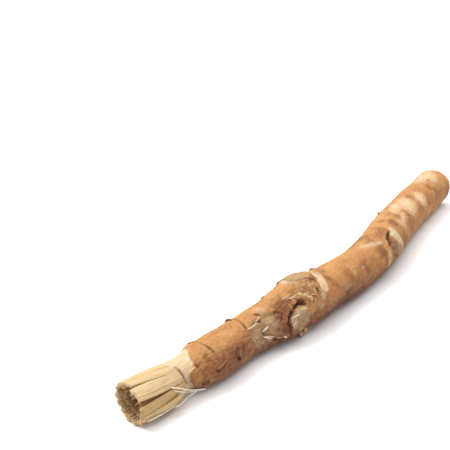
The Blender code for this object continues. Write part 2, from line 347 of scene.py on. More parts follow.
# The same numbers as the solid's: distance, angle, half length, half angle, height
SWELLINGS = (
    (52.5, 12, 7.5, 48, 0.75), (53.4, 6, 3.6, 26, 1.5), (47.4, -84, 3.3, 37, 1.35),
    (57, -70, 4.5, 45, 0.35), (43, -42, 3.6, 27, -0.75), (44.2, -122, 3, 20, 0.3),
    (94, -72, 4.5, 42, 0.65), (99, -25, 4, 45, 0.35), (89, -82, 2, 30, 0.45),
    (105, -100, 7, 60, 0.3), (27, -75, 3, 40, 0.2), (31, -80, 2, 30, -0.25), (63, 120, 9, 55, 0.5),
    (76, -130, 8, 40, 0.25), (118, 130, 7, 50, 0.45), (136, 60, 6, 50, 0.3),
    (155.5, -78, 2.6, 30, 0.4), (38, 130, 6, 45, 0.35),
)
# Distance, angle, height of the cut above the middle line, slope along the stick, half span
SHOOT_CUTS = ((53.4, 4, 6.8, 0.05, 6.0), (47.6, -82, 6.05, 0.15, 4.2))
# Distance, angle, height of its middle, half sizes along, outwards and round
PITS = (
    (94.6, -76, 6.2, 2.4, 1.3, 2.8), (67.4, -82, 5.5, 1.5, 0.6, 0.9),
    (17.6, -117, 4.2, 1.5, 0.5, 0.6), (112, 160, 5.8, 2.2, 0.8, 1.2),
)
# Where the bark starts above the neck: angle round the stick, distance
BARK_EDGE = (
    (-180, 18), (-153, 17.6), (-139, 16.6), (-111, 15), (-86, 14.1), (-69, 13.8), (-60, 14.2),
    (-52, 15.6), (-42, 16), (-27, 16.3), (-8, 17), (13, 18), (45, 19.4), (80, 19.3), (120, 18.6),
    (150, 18.3), (180, 18),
)
# Where the bristles spring from the neck: angle, distance
NECK = (
    (-180, 12.6), (-140, 12.9), (-111, 12.9), (-84, 12.4), (-69, 12.1), (-54, 12.1), (-40, 12),
    (-24, 11.7), (20, 11.9), (90, 12.5), (180, 12.6),
)
# Patches by tint, roughly from the near end on, and those of the back last: distance,
# angle, half length, half width, strength, turn, softness and raggedness of the edge,
# squareness, and how far the surface stands up in it
PATCHES: dict[Tint, Sequence[Row]] = {
    Tint.LIGHT: (
        # (27.8, -17) and (39.8, -6) are painted highlights on the top of the near bark
        (27.8, -17, 3.2, 1.7, 0.95, -12, 0.95), (23.5, -20, 1.8, 1.3, 0.35, 0, 0.95),
        (31, -10, 1.6, 1.2, 0.4, 0, 0.95), (39.8, -6, 2.2, 1.8, 1, -20, 0.9),
        (66.8, -3, 3.6, 1.9, 0.9, 0, 0.9, 0.3), (71.5, 14, 3, 1.8, 0.5, 0, 0.9, 0.3),
        (100.2, 22, 3.6, 1.4, 0.9, 0, 0.9, 0.3), (114, -30, 2.6, 1.6, 0.9, 0, 0.9),
        (104.2, 6, 2.6, 1.4, 0.8, 0, 0.9, 0.3), (121, -50, 4, 1.8, 0.7, 0, 0.9, 0.3),
        (142, -12, 3.6, 2.4, 0.5, 0, 0.9), (84, 70, 8, 2.4, 0.7, 0, 0.9),
    ),
    Tint.GOLD: (
        (52.8, -34, 3.4, 3, 1, 10, 0.4, 0.35, 2.4, 0.12),
        (48.2, -20, 1.8, 1.2, 0.8, 20, 0.5, 0.35, 2.2, 0.1),
        (48.2, -62, 2.2, 0.9, 0.95, 12, 0.5, 0.4, 2, 0.1),
        (62.8, 2, 1.6, 1.6, 0.8, 0, 0.5, 0.35, 2.2, 0.1), (52, 62, 4, 3, 0.8, 0, 0.7, 0.4, 2, 0.1),
    ),
    Tint.BARE: (
        (58.7, -29, 2.75, 1.35, 1, 62, 0.14, 0.1, 5, -0.22),
        (107, -40, 2.6, 1, 0.6, -52, 0.7, 0.3, 2.2),
        (109.4, -41, 1.8, 1.2, 0.7, -30, 0.8, 0.3, 2.2),
        (111.8, -31, 2.6, 1, 0.75, 20, 0.8, 0.3, 2.2),
        (115.5, 4, 6, 1.9, 0.9, 12, 0.8, 0.3, 2.4, -0.15),
        (121.8, -18, 5.4, 3.2, 0.95, 20, 0.7, 0.3, 2.4, -0.2),
        (131.8, -32, 3.4, 2.6, 1, 30, 0.75, 0.3, 2.4, -0.2),
        (150.5, 14, 7.5, 2.8, 0.95, 0, 0.7, 0.3, 2.4, -0.1),
        (151.2, -14, 4.5, 2, 0.75, 20, 0.7, 0.3, 2.2),
        (70, 150, 9, 2.6, 0.8, 5, 0.4, 0.35, 2.3, -0.25),
        (30, 150, 4, 1.7, 0.8, 0, 0.4, 0.35, 2.2, -0.25),
        (104, 95, 6.5, 2.2, 0.8, -6, 0.4, 0.35, 2.2, -0.25),
        (136, 70, 5, 2.4, 0.7, 0, 0.6, 0.35, 2.2, -0.15),
    ),
    Tint.OLIVE: (
        (37.6, -74, 5.4, 3.7, 0.9, 12, 0.16, 0.2, 2.8, -0.38),
        (46, -80, 1.6, 3, 1, 0, 0.3, 0.25, 2.6), (55.8, -60, 1.2, 1.6, 0.8, 20, 0.5, 0.4, 2, 0.15),
        (53.6, -70, 0.9, 1.1, 0.7, 0, 0.6), (51.4, 24, 1.1, 0.9, 0.8, 0, 0.5),
        (97, -76, 2.6, 2.4, 1, 0, 0.5, 0.3), (42, 110, 3.6, 2, 0.7, 15, 0.5, 0.4, 2, -0.15),
    ),
    Tint.RUST_AND_SHADE: (
        # (62, -130), the long band along the underside, is painted shade
        (25, -86, 9.5, 3.6, 0.85, 4, 0.6, 0.35, 2.4), (62, -130, 50, 3.7, 0.9, 0, 0.95, 0.4, 3),
        # (14, -98), under the neck, is painted shade
        (18.2, -98, 3, 2.6, 0.5), (14, -98, 1.8, 2.2, 0.6, 0, 0.9),
        (27.5, -74, 1.8, 1.4, 0.6, 0, 0.8, 0.4, 2, -0.12),
        (35.8, -74, 4, 3, 0.35, 12, 0.8, 0.5, 2.4), (38.6, -96, 4.4, 2, 0.55, 8, 0.8, 0.5, 2.4),
        (36.8, -77, 1.7, 1.6, 0.5, 0, 0.8, 0.4, 2, -0.35), (42.3, -74, 1.5, 3.2, 0.85),
        (39.5, -108, 2.8, 0.9, 0.8), (44.6, -38, 3.7, 3, 1, 25, 0.6, 0.3, 2.4),
        (43, -82, 1.6, 3.4, 1, 0, 0.5, 0.3, 2.4), (42.6, -34, 1.4, 1, 0.6, 0, 0.7, 0.4, 2, -0.15),
        (49.2, -48, 1.3, 1, 1, 20, 0.6, 0.3, 2, -0.5), (43, -98, 1.4, 2, 0.8),
        (45.4, -108, 1.2, 1.2, 0.5), (57.6, -15, 1.1, 1, 0.9, 0, 0.6),
        (61.8, -30, 1, 1.4, 0.8, 30, 0.7), (69.8, -42, 2, 1.6, 0.5, 0, 0.9), (75, -78, 9, 2, 0.45),
        (81.7, -47, 2, 1.3, 0.45, 0, 0.9), (88.4, -50, 2.2, 2.2, 0.8, 0, 0.7),
        (94.4, -42, 1.3, 2.6, 0.8, -35), (92.5, -12, 2.6, 1.6, 0.6),
        (94.8, -76, 1.6, 1.9, 0.7, 0, 0.7, 0.3), (103.6, -22, 2.2, 1.6, 0.8),
        (113.5, -60, 2, 1.6, 0.6), (109.2, -19, 1.8, 1.2, 0.7), (95.5, -10, 2.2, 1.8, 0.7),
        (103.5, -72, 2, 1.6, 0.5), (128, -2, 1.8, 1.4, 0.6), (126.8, -58, 2.6, 2, 0.5),
        (138.5, -48, 3.6, 2.4, 0.35), (146, -70, 6, 2.6, 0.4), (155.5, -84, 3.2, 2.6, 0.6, 0, 0.7),
        (58, 95, 6, 3, 0.7), (126, 110, 8, 3, 0.6), (90, -150, 12, 3, 0.6),
    ),
    Tint.PALE: (
        (34.6, -66, 2, 1.4, 0.15, 20, 0.9, 0.5), (39.6, -50, 1.5, 1.1, 0.2, 10, 0.9, 0.4, 2, 0.3),
        (39.4, -8, 0.9, 1.4, 0.4, 10, 0.8, 0.3, 2.4, 0.12),
        (47.6, -61, 2, 0.6, 0.75, 10, 0.7, 0.4, 2.2), (45, -72, 0.6, 1.8, 0.7, 0, 0.7, 0.5, 2.2),
        (55.8, -58, 0.9, 1, 0.7, 10, 0.6, 0.5), (54.6, -79, 0.7, 0.6, 0.5),
        (51, 14, 0.9, 0.8, 0.7, 0, 0.6), (58.2, -41, 1.1, 0.9, 0.8, 58, 0.5, 0.3, 3),
        (60.2, -9, 0.9, 0.7, 0.7, 58, 0.5, 0.3, 3), (76.9, -53, 0.7, 0.5, 0.5, 0, 0.8, 0.3),
        (72.2, -50, 0.9, 0.6, 0.4, 0, 0.9, 0.3), (71.9, -38, 0.7, 0.4, 0.35, 30, 0.9, 0.3),
        (67.9, -81, 1, 0.6, 0.65, 35, 0.6, 0.3, 2, 0.15), (85, -10, 1.9, 1, 0.5, 0, 0.9, 0.3),
        (98.6, -44, 1.9, 2, 1, 20, 0.4, 0.25, 2.4),
    ),
    Tint.DARK: (
        # the two long bands along the underside, at -127 and -109, are painted shade
        (66, -127, 48, 4.2, 0.6, 0, 0.95, 0.45, 3), (66, -109, 20, 2.4, 0.75, 0, 0.85, 0.4, 2.6),
        (36.5, -72, 0.6, 1.2, 0.55, -10, 0.8, 0.4, 2, -0.15),
        (66.6, -88, 0.8, 0.8, 0.75, 0, 0.6, 0.3, 2, -0.3),
    ),
}
# Strokes by tint: the places of the line (distance, angle, half width), then strength,
# softness and raggedness of the edge, depth of the groove, and height of its lips
STROKES: dict[Tint, Sequence[tuple]] = {
    Tint.RUST_AND_SHADE: (
        # the brown line on the neck at the bristles' roots is painted shadow
        (((12.2, -22, 0.3), (12.4, -36, 0.5), (12.4, -54, 0.6), (12.5, -72, 0.6),
          (12.9, -92, 0.5)), 0.9, 0.9, 0.3, 0.12),
        (((23.4, -60, 0.5), (25, -70, 0.7), (24.2, -84, 0.5)), 0.7, 0.9, 0.5, 0.1),
        (((21, -46, 0.3), (23, -52, 0.45), (26, -50, 0.4), (30, -57, 0.5)), 0.6, 0.9, 0.4),
    ),
    Tint.PALE: (
        (((53.6, 38, 0.5), (56.5, 32, 0.6), (58.8, 22, 0.6), (60, 8, 0.5),
          (59.4, -6, 0.3)), 0.85, 0.8, 0.3, -0.05),
        (((98.9, -28, 0.7), (98.7, -42, 1.5), (99.2, -56, 1.5), (100.8, -74, 0.8),
          (101.2, -90, 0.6), (99.8, -104, 0.4)), 0.95, 0.5, 0.2, -0.18),
        (((83.6, -3, 0.9), (85.8, -11, 1), (88.6, -22, 0.8),
          (90.4, -34, 0.4)), 0.65, 0.98, 0.45, -0.1),
        (((90.8, -58, 0.3), (90.6, -70, 0.8), (90, -80, 1.1),
          (89.2, -90, 0.8)), 0.7, 0.95, 0.4, -0.1),
        (((21.4, -42, 0.16), (22.6, -44, 0.16)), 0.2, 0.9, 0.3, -0.08),
        (((21.3, -44, 0.16), (21.9, -56, 0.13)), 0.2, 0.9, 0.3, -0.08),
        (((20.4, -84, 0.14), (21.6, -77, 0.16), (23, -71, 0.1)), 0.35, 0.9, 0.3, -0.12),
        (((27, -84, 0.14), (27.3, -76, 0.18), (27.5, -69, 0.12)), 0.35, 0.9, 0.3, -0.12),
        (((29.6, -55, 0.14), (31.4, -57, 0.18), (33.2, -62, 0.12)), 0.3, 0.9, 0.3, -0.1),
        (((50, -28, 0.35), (51, -40, 0.45), (51.8, -54, 0.3)), 0.8, 0.8, 0.4, -0.2),
        (((46.2, -14, 0.14), (47.6, -18, 0.16), (48.8, -19, 0.12)), 0.7, 0.8, 0.4, -0.1),
    ),
    Tint.DARK: (
        (((21.4, 60, 0.1), (20.9, 20, 0.15), (20.5, -4, 0.15), (20.7, -26, 0.3),
          (20.8, -40, 0.2)), 0.95, 0.6, 0.3, 0.35, 0.25),
        (((33.9, 60, 0.1), (33.4, 15, 0.15), (33, -2, 0.15), (32.5, -28, 0.32),
          (32.4, -39, 0.25)), 0.95, 0.6, 0.3, 0.35, 0.25),
        # the dark line on the neck at the bristles' roots is painted shadow
        (((12.4, -36, 0.14), (12.4, -52, 0.2), (12.5, -68, 0.16)), 0.35, 0.9, 0.4, 0.08),
        (((68.5, 100, 0.15), (67.6, 130, 0.3), (68.2, 165, 0.15)), 0.8, 0.6, 0.3, 0.3, 0.2),
        (((49.8, -54, 0.4), (49.1, -48, 0.75), (48.2, -43, 0.6)), 0.85, 0.5, 0.2, 0.7, 0.1),
        (((48.2, -43, 0.6), (46.9, -48, 0.5), (45.6, -56, 0.5), (44.5, -66, 0.5), (43.8, -80, 0.45),
          (43.8, -95, 0.45), (44.3, -108, 0.3)), 1, 0.5, 0.15, 1, 0.05),
        # the dark line in the groove round the top shoot's cut is painted shade
        (((52.4, 44, 0.2), (52.2, 30, 0.16), (52, 12, 0.16), (53.4, -5, 0.16), (55.4, -15, 0.34),
          (56.6, -23, 0.42), (56.4, -28, 0.25)), 0.95, 0.6, 0.2, 0.45, 0.1),
        (((97.6, -28, 0.3), (95.4, -34, 0.6), (93.8, -42, 0.8), (92.9, -51, 0.7),
          (92.6, -60, 0.35)), 0.95, 0.6, 0.2, 0.85),
        (((37.4, -8, 0.2), (37.9, -13, 0.4), (38.2, -19, 0.3)), 0.9, 0.6, 0.3, 0.5),
        (((36.4, -30, 0.35), (37.2, -36, 0.35)), 0.85, 0.7, 0.3, 0.35),
        (((19.9, -86, 0.22), (20.6, -92, 0.25), (21.6, -88, 0.2),
          (22.6, -78, 0.12)), 0.8, 0.7, 0.3, 0.2, 0.1),
        (((26.9, -90, 0.16), (25.8, -80, 0.28), (25.9, -68, 0.24),
          (27, -60, 0.16)), 0.85, 0.7, 0.4, 0.2, 0.1),
        (((29.6, -60, 0.14), (28.6, -68, 0.3), (29, -80, 0.18)), 0.6, 0.8, 0.4, 0.12, 0.08),
        (((18.3, -104, 0.25), (17.9, -118, 0.38), (17.2, -134, 0.25)), 0.9, 0.6, 0.2, 0.3),
        (((16.2, -50, 0.32), (16.4, -56, 0.38)), 0.75, 0.8, 0.4, 0.1),
        (((19.3, -36, 0.25), (19.7, -38, 0.2)), 0.6, 0.8, 0.4, 0.05),
        (((19.1, -55, 0.2), (19.6, -57, 0.16)), 0.55, 0.8, 0.4, 0.05),
        (((41.9, -28, 0.2), (42.9, -36, 0.32), (43.6, -46, 0.3),
          (43.2, -54, 0.2)), 0.65, 0.8, 0.4, 0.12, 0.08),
        (((51.6, -22, 0.16), (52.6, -34, 0.2), (52.8, -48, 0.25),
          (52, -60, 0.2)), 0.6, 0.8, 0.4, 0.2),
        (((54.8, -34, 0.16), (55.2, -44, 0.2), (54, -52, 0.16)), 0.55, 0.8, 0.4, 0.16),
    ),
}


@dataclass(frozen=True)
class Skin:
    """The stick's surface: how far it stands out, and what stains it where, with some painted light
    and shade among the stains.

    A scale says how many lumps come to a millimetre along, across and up.
    """

    patches: Sequence[Patch] = tuple(
        Patch(tint, *row) for tint, rows in PATCHES.items() for row in rows)
    strokes: Sequence[Stroke] = tuple(
        Stroke(tint, *row) for tint, rows in STROKES.items() for row in rows)
    fray_lumps: Lumps = field(default_factory=lambda: Lumps(3))
    fine_lumps: Lumps = field(default_factory=lambda: Lumps(5))
    fray_scale: Row = (0.9, 1.1, 1.1)
    fine_scale: Row = (1.1, 1.5, 1.5)
    streak_scale: Row = (0.28, 2.4, 2.4)
    fold_scale: Row = (0.42, 0.62, 0.62)
    mottle_scale: Row = (0.27, 0.25, 0.25)
    cut_scale: Row = (0.35, 2.2, 2.2)
    # the bark's thickness, how its edge wanders, its slope and the peeling beside it
    bark_thickness: float = 0.4
    edge_wander: float = 0.32
    edge_ramp: Row = (-0.14, 0.14)
    peeling_ramp: Row = (-0.26, 0.0)
    # how uneven the bark is, and more so at the knots: distance, spread and height
    uneven: float = 0.16
    knots: Sequence[Row] = ((51, 9, 0.3), (94, 7, 0.1))
    uneven_ramp: Row = (13, 18)
    uneven_scale: Row = (0.32, 1.5)
    # shoots' cuts: half the angle they take up, their edge, their grain and what they stain
    cut_angle: float = 62.0
    cut_lean: float = 0.2
    cut_ramp: Row = (-0.02, 0.1)
    cut_grain: float = 0.03
    cut_stain: float = 0.9
    cut_cleaning: float = 0.8
    # folds of the golden places, with a painted highlight on their crests and painted shade in
    # their troughs
    fold_shift: float = 9.0
    fold_sharpness: float = 2.4
    fold_light_and_shade: float = 0.4
    fold_height: float = 0.17
    crest_ramp: Row = (0.65, 1.0)
    trough_ramp: Row = (0.1, -0.5)
    # mottles: rusty in the hollows and light on the hills; along the top of the stick, less rust
    # and a painted highlight
    mottle_shift: float = 31.0
    mottle_depth: float = 0.1
    rusty: Row = (0.6, 0.42)
    rusty_ramp: Row = (0.08, 0.6)
    light: Row = (0.42, 0.3)
    light_ramp: Row = (0.05, 0.5)
    highlit_angles: Sequence[Row] = ((-45, -20), (80, 50))
    highlit_distances: Row = (95, 70)
    upper_angles: Sequence[Row] = ((-60, -25), (100, 60))
    upper_turn: Row = (20, 100, 115)
    # the fine relief: all over, more round the front knot and on the near flank
    relief: Row = (0.06, 0.09, 0.06)
    front_knot: Row = (50, 8)
    front_angles: Sequence[Row] = ((-150, -60), (60, 20))
    flank_ramps: Sequence[Row] = ((34, 28), (-30, -60))
    streak_height: float = 0.1
    # the hollow of the brush: painted shade, rust and then dark deeper in; and the pale wood of the
    # neck
    hollow_ramp: Row = (11.5, 9.0)
    deep_ramp: Row = (7.5, 6.0)
    deep_shade: float = 0.4
    neck_paleness: float = 0.45
    rust_over_neck: float = 0.8
    # where a groove's lip is highest, in half widths from its middle, and how wide it is
    lip: Row = (1.6, 0.3**0.5)

    def _solid(self, distance: Array, angle: Array) -> Array:
        """Work out the relief that the solid has too: swellings and the uneven bark.

        Args:
            distance: distances of the places.
            angle: their angles.

        Returns:
            Heights over the plain radius, in millimetres.
        """
        height = np.zeros_like(distance)
        for at, turn, half_length, half_angle, rise in SWELLINGS:
            hump = bell(distance, at, half_length) * bell(apart(angle, turn), 0, half_angle)
            height += rise * hump
        uneven = self.uneven + sum(rise * bell(distance, *knot) for *knot, rise in self.knots)
        along, around = self.uneven_scale
        spots = [distance[..., None] * along, STEM.outward(angle)[..., 1:] * around]
        lumps = [noise.noise(spot) for spot in np.concatenate(spots, -1).reshape(-1, 3)]
        uneven = uneven * smooth_step(*self.uneven_ramp, distance)
        return height + uneven * np.array(lumps).reshape(distance.shape)

    def _cut(self, radius: Array, distance: Array, angle: Array) -> tuple[Array, Array]:
        """Slice the side shoots off flat.

        Args:
            radius: how far the surface stands from the middle line.
            distance: distances of its places.
            angle: their angles.

        Returns:
            The radius after the cuts, and how far each place lies under the knife's way.
        """
        sliced = np.zeros_like(radius)
        for at, turn, height, slope, half_span in SHOOT_CUTS:
            frame = STEM.facing(at, turn)
            normal = np.array(frame.to_3x3() @ Vector((-slope, 0, 1)).normalized())
            lean = np.maximum(STEM.outward(angle) @ normal, self.cut_lean)
            plane = ((STEM.place(at, turn, height) - STEM.middle(distance)) @ normal) / lean
            near = (abs(distance - at) < half_span) & (abs(apart(angle, turn)) < self.cut_angle)
            over = np.where(near, radius - plane, 0.0)
            sliced = np.maximum(sliced, smooth_step(*self.cut_ramp, over))
            grain = self.fine_lumps(STEM.place(distance, angle, radius) * self.cut_scale)
            radius = np.where(over > 0, plane + self.cut_grain * grain, radius)
        return radius, sliced

    def _weather(self, distance: Array, angle: Array, barked: Array, tints: Tints) -> Array:
        """Mottle the bark with a painted highlight along its top, wrinkle it, fold the golden
        places with painted light and shade, and paint shade into the brush's hollow.

        Args:
            distance: distances of the places.
            angle: their angles.
            barked: how far each has bark over it.
            tints: their tints, which are changed.

        Returns:
            How much farther out the surface stands, in millimetres.
        """
        plain = STEM.place(distance, angle, STEM.girth(distance))
        fine = self.fine_lumps(plain * self.fine_scale, 3)
        streaks = self.fine_lumps(plain * self.streak_scale, 2)
        folds = abs(self.fine_lumps(plain * self.fold_scale + self.fold_shift, 2))
        folds = 1 - self.fold_sharpness * folds
        gold = tints[Tint.GOLD]
        # painted highlight on the folds' crests and painted shade in their troughs
        stain(tints, Tint.PALE, self.fold_light_and_shade * gold * smooth_step(*self.crest_ramp, folds))
        stain(tints, Tint.DARK, self.fold_light_and_shade * gold * smooth_step(*self.trough_ramp, folds))

        barky = barked * (1 - np.maximum(tints[Tint.BARE], tints[Tint.OLIVE]))
        mottle = self.fray_lumps(plain * self.mottle_scale + self.mottle_shift, 3) * barky
        # painted highlight: along the top of the stick, less rust and the light tint laid over it
        bright = within(angle, *self.highlit_angles) * within(distance, self.highlit_distances)
        most, less = self.rusty
        stain(tints, Tint.RUST_AND_SHADE, (most - less * bright) * smooth_step(*self.rusty_ramp, mottle))
        turn, *turning = self.upper_turn
        (low, high), sinking = self.upper_angles
        upper = smooth_step(low, high, angle + turn * smooth_step(*turning, distance))
        upper = upper * smooth_step(*sinking, angle)
        above, hills = self.light
        stain(tints, Tint.LIGHT, above * upper + hills * smooth_step(*self.light_ramp, -mottle))
        # painted shade in the brush's hollow, darker towards its floor
        stain(tints, Tint.RUST_AND_SHADE, smooth_step(*self.hollow_ramp, distance))
        stain(tints, Tint.DARK, self.deep_shade * smooth_step(*self.deep_ramp, distance))

        near, low_down = self.flank_ramps
        flank = smooth_step(*near, distance) * smooth_step(*low_down, angle)
        knotty = bell(distance, *self.front_knot) * within(angle, *self.front_angles)
        everywhere, on_knot, on_flank = self.relief
        rise = barky * (everywhere + on_knot * knotty + on_flank * flank) * fine
        rise -= self.mottle_depth * mottle
        rise += self.streak_height * tints[Tint.OLIVE] * streaks
        return rise + self.fold_height * gold * folds

    def read(self, distance: Array, angle: Array) -> tuple[Array, Tints]:
        """Work out the surface at places.

        Args:
            distance: distances in millimetres.
            angle: angles in degrees.

        Returns:
            The radius in millimetres, and each tint's strength from 0 to 1.
        """
        girth = STEM.girth(distance)
        frayed = self.fray_lumps(STEM.place(distance, angle, girth) * self.fray_scale, 3)
        tints = {tint: np.zeros_like(distance) for tint in Tint}
        past = distance - np.interp(angle, *zip(*BARK_EDGE)) - self.edge_wander * frayed
        barked = smooth_step(*self.edge_ramp, past)
        tints[Tint.BARE] = 1 - smooth_step(*self.peeling_ramp, past)
        radius = girth + self._solid(distance, angle) + self.bark_thickness * barked
        for patch in self.patches:
            cover = patch.cover(distance, angle, frayed)
            stain(tints, patch.tint, cover)
            radius += patch.rise * cover
        radius += self._weather(distance, angle, barked, tints)

        radius, sliced = self._cut(radius, distance, angle)
        stain(tints, Tint.OLIVE, sliced * self.cut_stain)
        tints[Tint.GOLD] *= 1 - sliced
        for tint in (Tint.RUST_AND_SHADE, Tint.LIGHT, Tint.BARE):
            tints[tint] *= 1 - self.cut_cleaning * sliced
        for at, turn, height, half_length, half_depth, half_width in PITS:
            side = np.radians(apart(angle, turn)) * height
            reach = ((distance - at) / half_length) ** 2 + (side / half_width) ** 2
            bottom = height - half_depth * np.sqrt(np.clip(1 - reach, 0, 1))
            radius = np.where(reach < 1, np.minimum(radius, bottom), radius)
        for stroke in self.strokes:
            reach = stroke.reach(distance, angle) + stroke.fray * frayed
            stain(tints, stroke.tint, stroke.strength * covered(reach, stroke.edge))
            radius -= stroke.depth * np.sqrt(np.clip(1 - reach**2, 0, 1))
            radius += stroke.lip * bell(reach, *self.lip)
        wood = self.neck_paleness * (1 - barked)
        stain(tints, Tint.PALE, wood * (1 - self.rust_over_neck * tints[Tint.RUST_AND_SHADE]))
        return radius, tints

    def surface(self, distance: float, angle: float) -> float:
        """The radius at one place, in millimetres."""
        return float(self.read(np.array([float(distance)]), np.array([float(angle)]))[0][0])


class Signal:
    """A socket of a material's nodes, which sums can be written with."""

    def __init__(self, graph: "Graph", socket: bpy.types.NodeSocket) -> None:
        """Wrap an output socket of the graph."""
        self.graph = graph
        self.socket = socket

    def _sum(self, operation: str, first: "Signal | float", last: "Signal | float") -> "Signal":
        """A Math node that joins two values."""
        return self.graph.node("ShaderNodeMath", {"operation": operation}, {0: first, 1: last})

    def __add__(self, other: "Signal | float") -> "Signal":
        """This value plus another."""
        return self._sum("ADD", self, other)

    def __sub__(self, other: "Signal | float") -> "Signal":
        """This value less another."""
        return self._sum("SUBTRACT", self, other)

    def __mul__(self, other: "Signal | float") -> "Signal":
        """This value times another."""
        return self._sum("MULTIPLY", self, other)

    def __rsub__(self, other: float) -> "Signal":
        """A number less this value."""
        return self._sum("SUBTRACT", other, self)

    __radd__ = __add__
    __rmul__ = __mul__

    def ramp(self, low: float, high: float) -> "Signal":
        """0 where the value is below low, 1 above high, and an even rise between."""
        sockets = {0: self, 1: low, 2: high}
        return self.graph.node("ShaderNodeMapRange", {"clamp": True}, sockets)


class Graph:
    """The nodes of one new material."""

    def __init__(self, name: str, shine: dict[str, float]) -> None:
        """Make the material.

        Args:
            name: the material's name.
            shine: the values of the shader's sockets that are the same all over.
        """
        self.material = bpy.data.materials.new(name)
        self.material.use_nodes = True
        self.shader = self.material.node_tree.nodes["Principled BSDF"]
        for socket, value in shine.items():
            self.shader.inputs[socket].default_value = value

    def node(self, kind: str, settings: dict, sockets: dict, output: int = 0) -> Signal:
        """Add a node.

        Args:
            kind: the node's type.
            settings: its properties.
            sockets: values or signals for its sockets, by name or number.
            output: the number of the output to give back.

        Returns:
            The output as a signal.
        """
        made = self.material.node_tree.nodes.new(kind)
        for name, value in settings.items():
            setattr(made, name, value)
        for name, value in sockets.items():
            self.feed(made.inputs[name], value)
        return Signal(self, made.outputs[output])

    def feed(self, socket: bpy.types.NodeSocket, value: object) -> None:
        """Link a signal to a socket, or set the socket's own value.

        Args:
            socket: the input socket.
            value: the signal or the value.
        """
        if isinstance(value, Signal):
            self.material.node_tree.links.new(value.socket, socket)
        else:
            socket.default_value = value

    def mix(self, share: Signal, first: Signal | Row, last: Signal | Row) -> Signal:
        """A colour between two others."""
        return self.node("ShaderNodeMix", {"data_type": "RGBA"}, {0: share, 6: first, 7: last}, 2)

    def coat(self, colour: Signal | Row, *coats: tuple[Signal, Signal | Row]) -> Signal:
        """Lay colours over one another.

        Args:
            colour: the lowest one.
            coats: the share and the colour of each coat over it.

        Returns:
            The colour that shows.
        """
        for share, over in coats:
            colour = self.mix(share, colour, over)
        return colour

    def attribute(self, name: str, output: int = 2) -> Signal:
        """A value that the mesh carries: output 2 is a number, and 1 a vector."""
        return self.node("ShaderNodeAttribute", {"attribute_name": name}, {}, output)

    def lumps(self, places: Signal, scale: float, detail: float, rough: float) -> Signal:
        """Random hills and hollows from 0 to 1."""
        sockets = {"Vector": places, "Scale": scale, "Detail": detail, "Roughness": rough}
        return self.node("ShaderNodeTexNoise", {}, sockets)

    def places(self, stretch: Row = (1.0, 1.0, 1.0)) -> Signal:
        """The object's own coordinates, shrunk where the pattern is to be longer."""
        own = self.node("ShaderNodeTexCoord", {}, {}, 3)
        return self.node("ShaderNodeMapping", {}, {"Vector": own, "Scale": stretch})

    def finish(self, colour: Signal, roughness: Signal, height: Signal, depth: float) -> Material:
        """Join the shader up.

        Args:
            colour: the base colour.
            roughness: the roughness.
            height: the fine relief, from 0 to 1.
            depth: how deep the fine relief is, in metres.

        Returns:
            The material.
        """
        bump = {"Strength": 1.0, "Distance": depth, "Height": height}
        normal = self.node("ShaderNodeBump", {}, bump)
        for socket, value in (("Base Color", colour), ("Roughness", roughness), ("Normal", normal)):
            self.feed(self.shader.inputs[socket], value)
        return self.material


@dataclass(frozen=True)
class BarkFinish:
    """Dry golden-brown bark, granular near the brush and smoother further on."""

    bark: Row = rgb(155, 101, 51)
    bright: Row = rgb(171, 119, 66)
    grains: Row = rgb(94, 54, 31)
    pits: Row = rgb(78, 40, 24)
    specks: Row = rgb(178, 145, 102)
    tints: Sequence[tuple[Tint, Row, Row]] = (
        (Tint.LIGHT, rgb(184, 138, 87), rgb(173, 124, 71)),
        (Tint.GOLD, rgb(167, 124, 70), rgb(134, 88, 46)),
        (Tint.BARE, rgb(203, 175, 142), rgb(192, 162, 127)),
        (Tint.OLIVE, rgb(160, 132, 97), rgb(134, 105, 72)),
        (Tint.RUST_AND_SHADE, rgb(123, 74, 43), rgb(99, 54, 31)),
        (Tint.PALE, rgb(190, 173, 146), rgb(178, 154, 120)),
        (Tint.DARK, rgb(88, 42, 26), rgb(58, 26, 18)),
    )
    relief: float = 0.00026

    def material(self) -> Material:
        """Make the material.

        Returns:
            The material.
        """
        graph = Graph("bark", {"Specular IOR Level": 0.3})
        near, long = graph.attribute("granular"), graph.places((0.55, 1.0, 1.0))
        coarse = graph.lumps(long, 330.0, 3.0, 0.6)
        grain = graph.lumps(long, 1500.0, 3.0, 0.65)
        fine = graph.lumps(graph.places(), 3600.0, 2.0, 0.6)
        fibre = graph.lumps(graph.places((0.1, 1.0, 1.0)), 2600.0, 2.0, 0.6)
        pits = graph.lumps(graph.places((0.7, 1.0, 1.0)), 1500.0, 1.0, 0.5)
        colour = graph.coat(
            self.bark, (coarse.ramp(0.38, 0.66), self.bright),
            (grain.ramp(0.52, 0.34) * (near * 0.6 + 0.2), self.grains),
            (fine.ramp(0.58, 0.7) * (near * 0.5 + 0.1), self.specks),
            (pits.ramp(0.4, 0.3) * (near * 0.4 + 0.05), self.pits))
        for tint, first, last in self.tints:
            worn = graph.mix(fibre.ramp(0.35, 0.65), first, last)
            colour = graph.mix(graph.attribute(tint.value), colour, worn)
        bare = graph.attribute(Tint.BARE.value)
        roughness = 0.62 + 0.25 * grain - 0.12 * bare
        height = (grain * 0.6 + fine * 0.4) * (near * 0.7 + 0.3) * (1 - bare) + fibre * bare * 0.25
        return graph.finish(colour, roughness, height, self.relief)


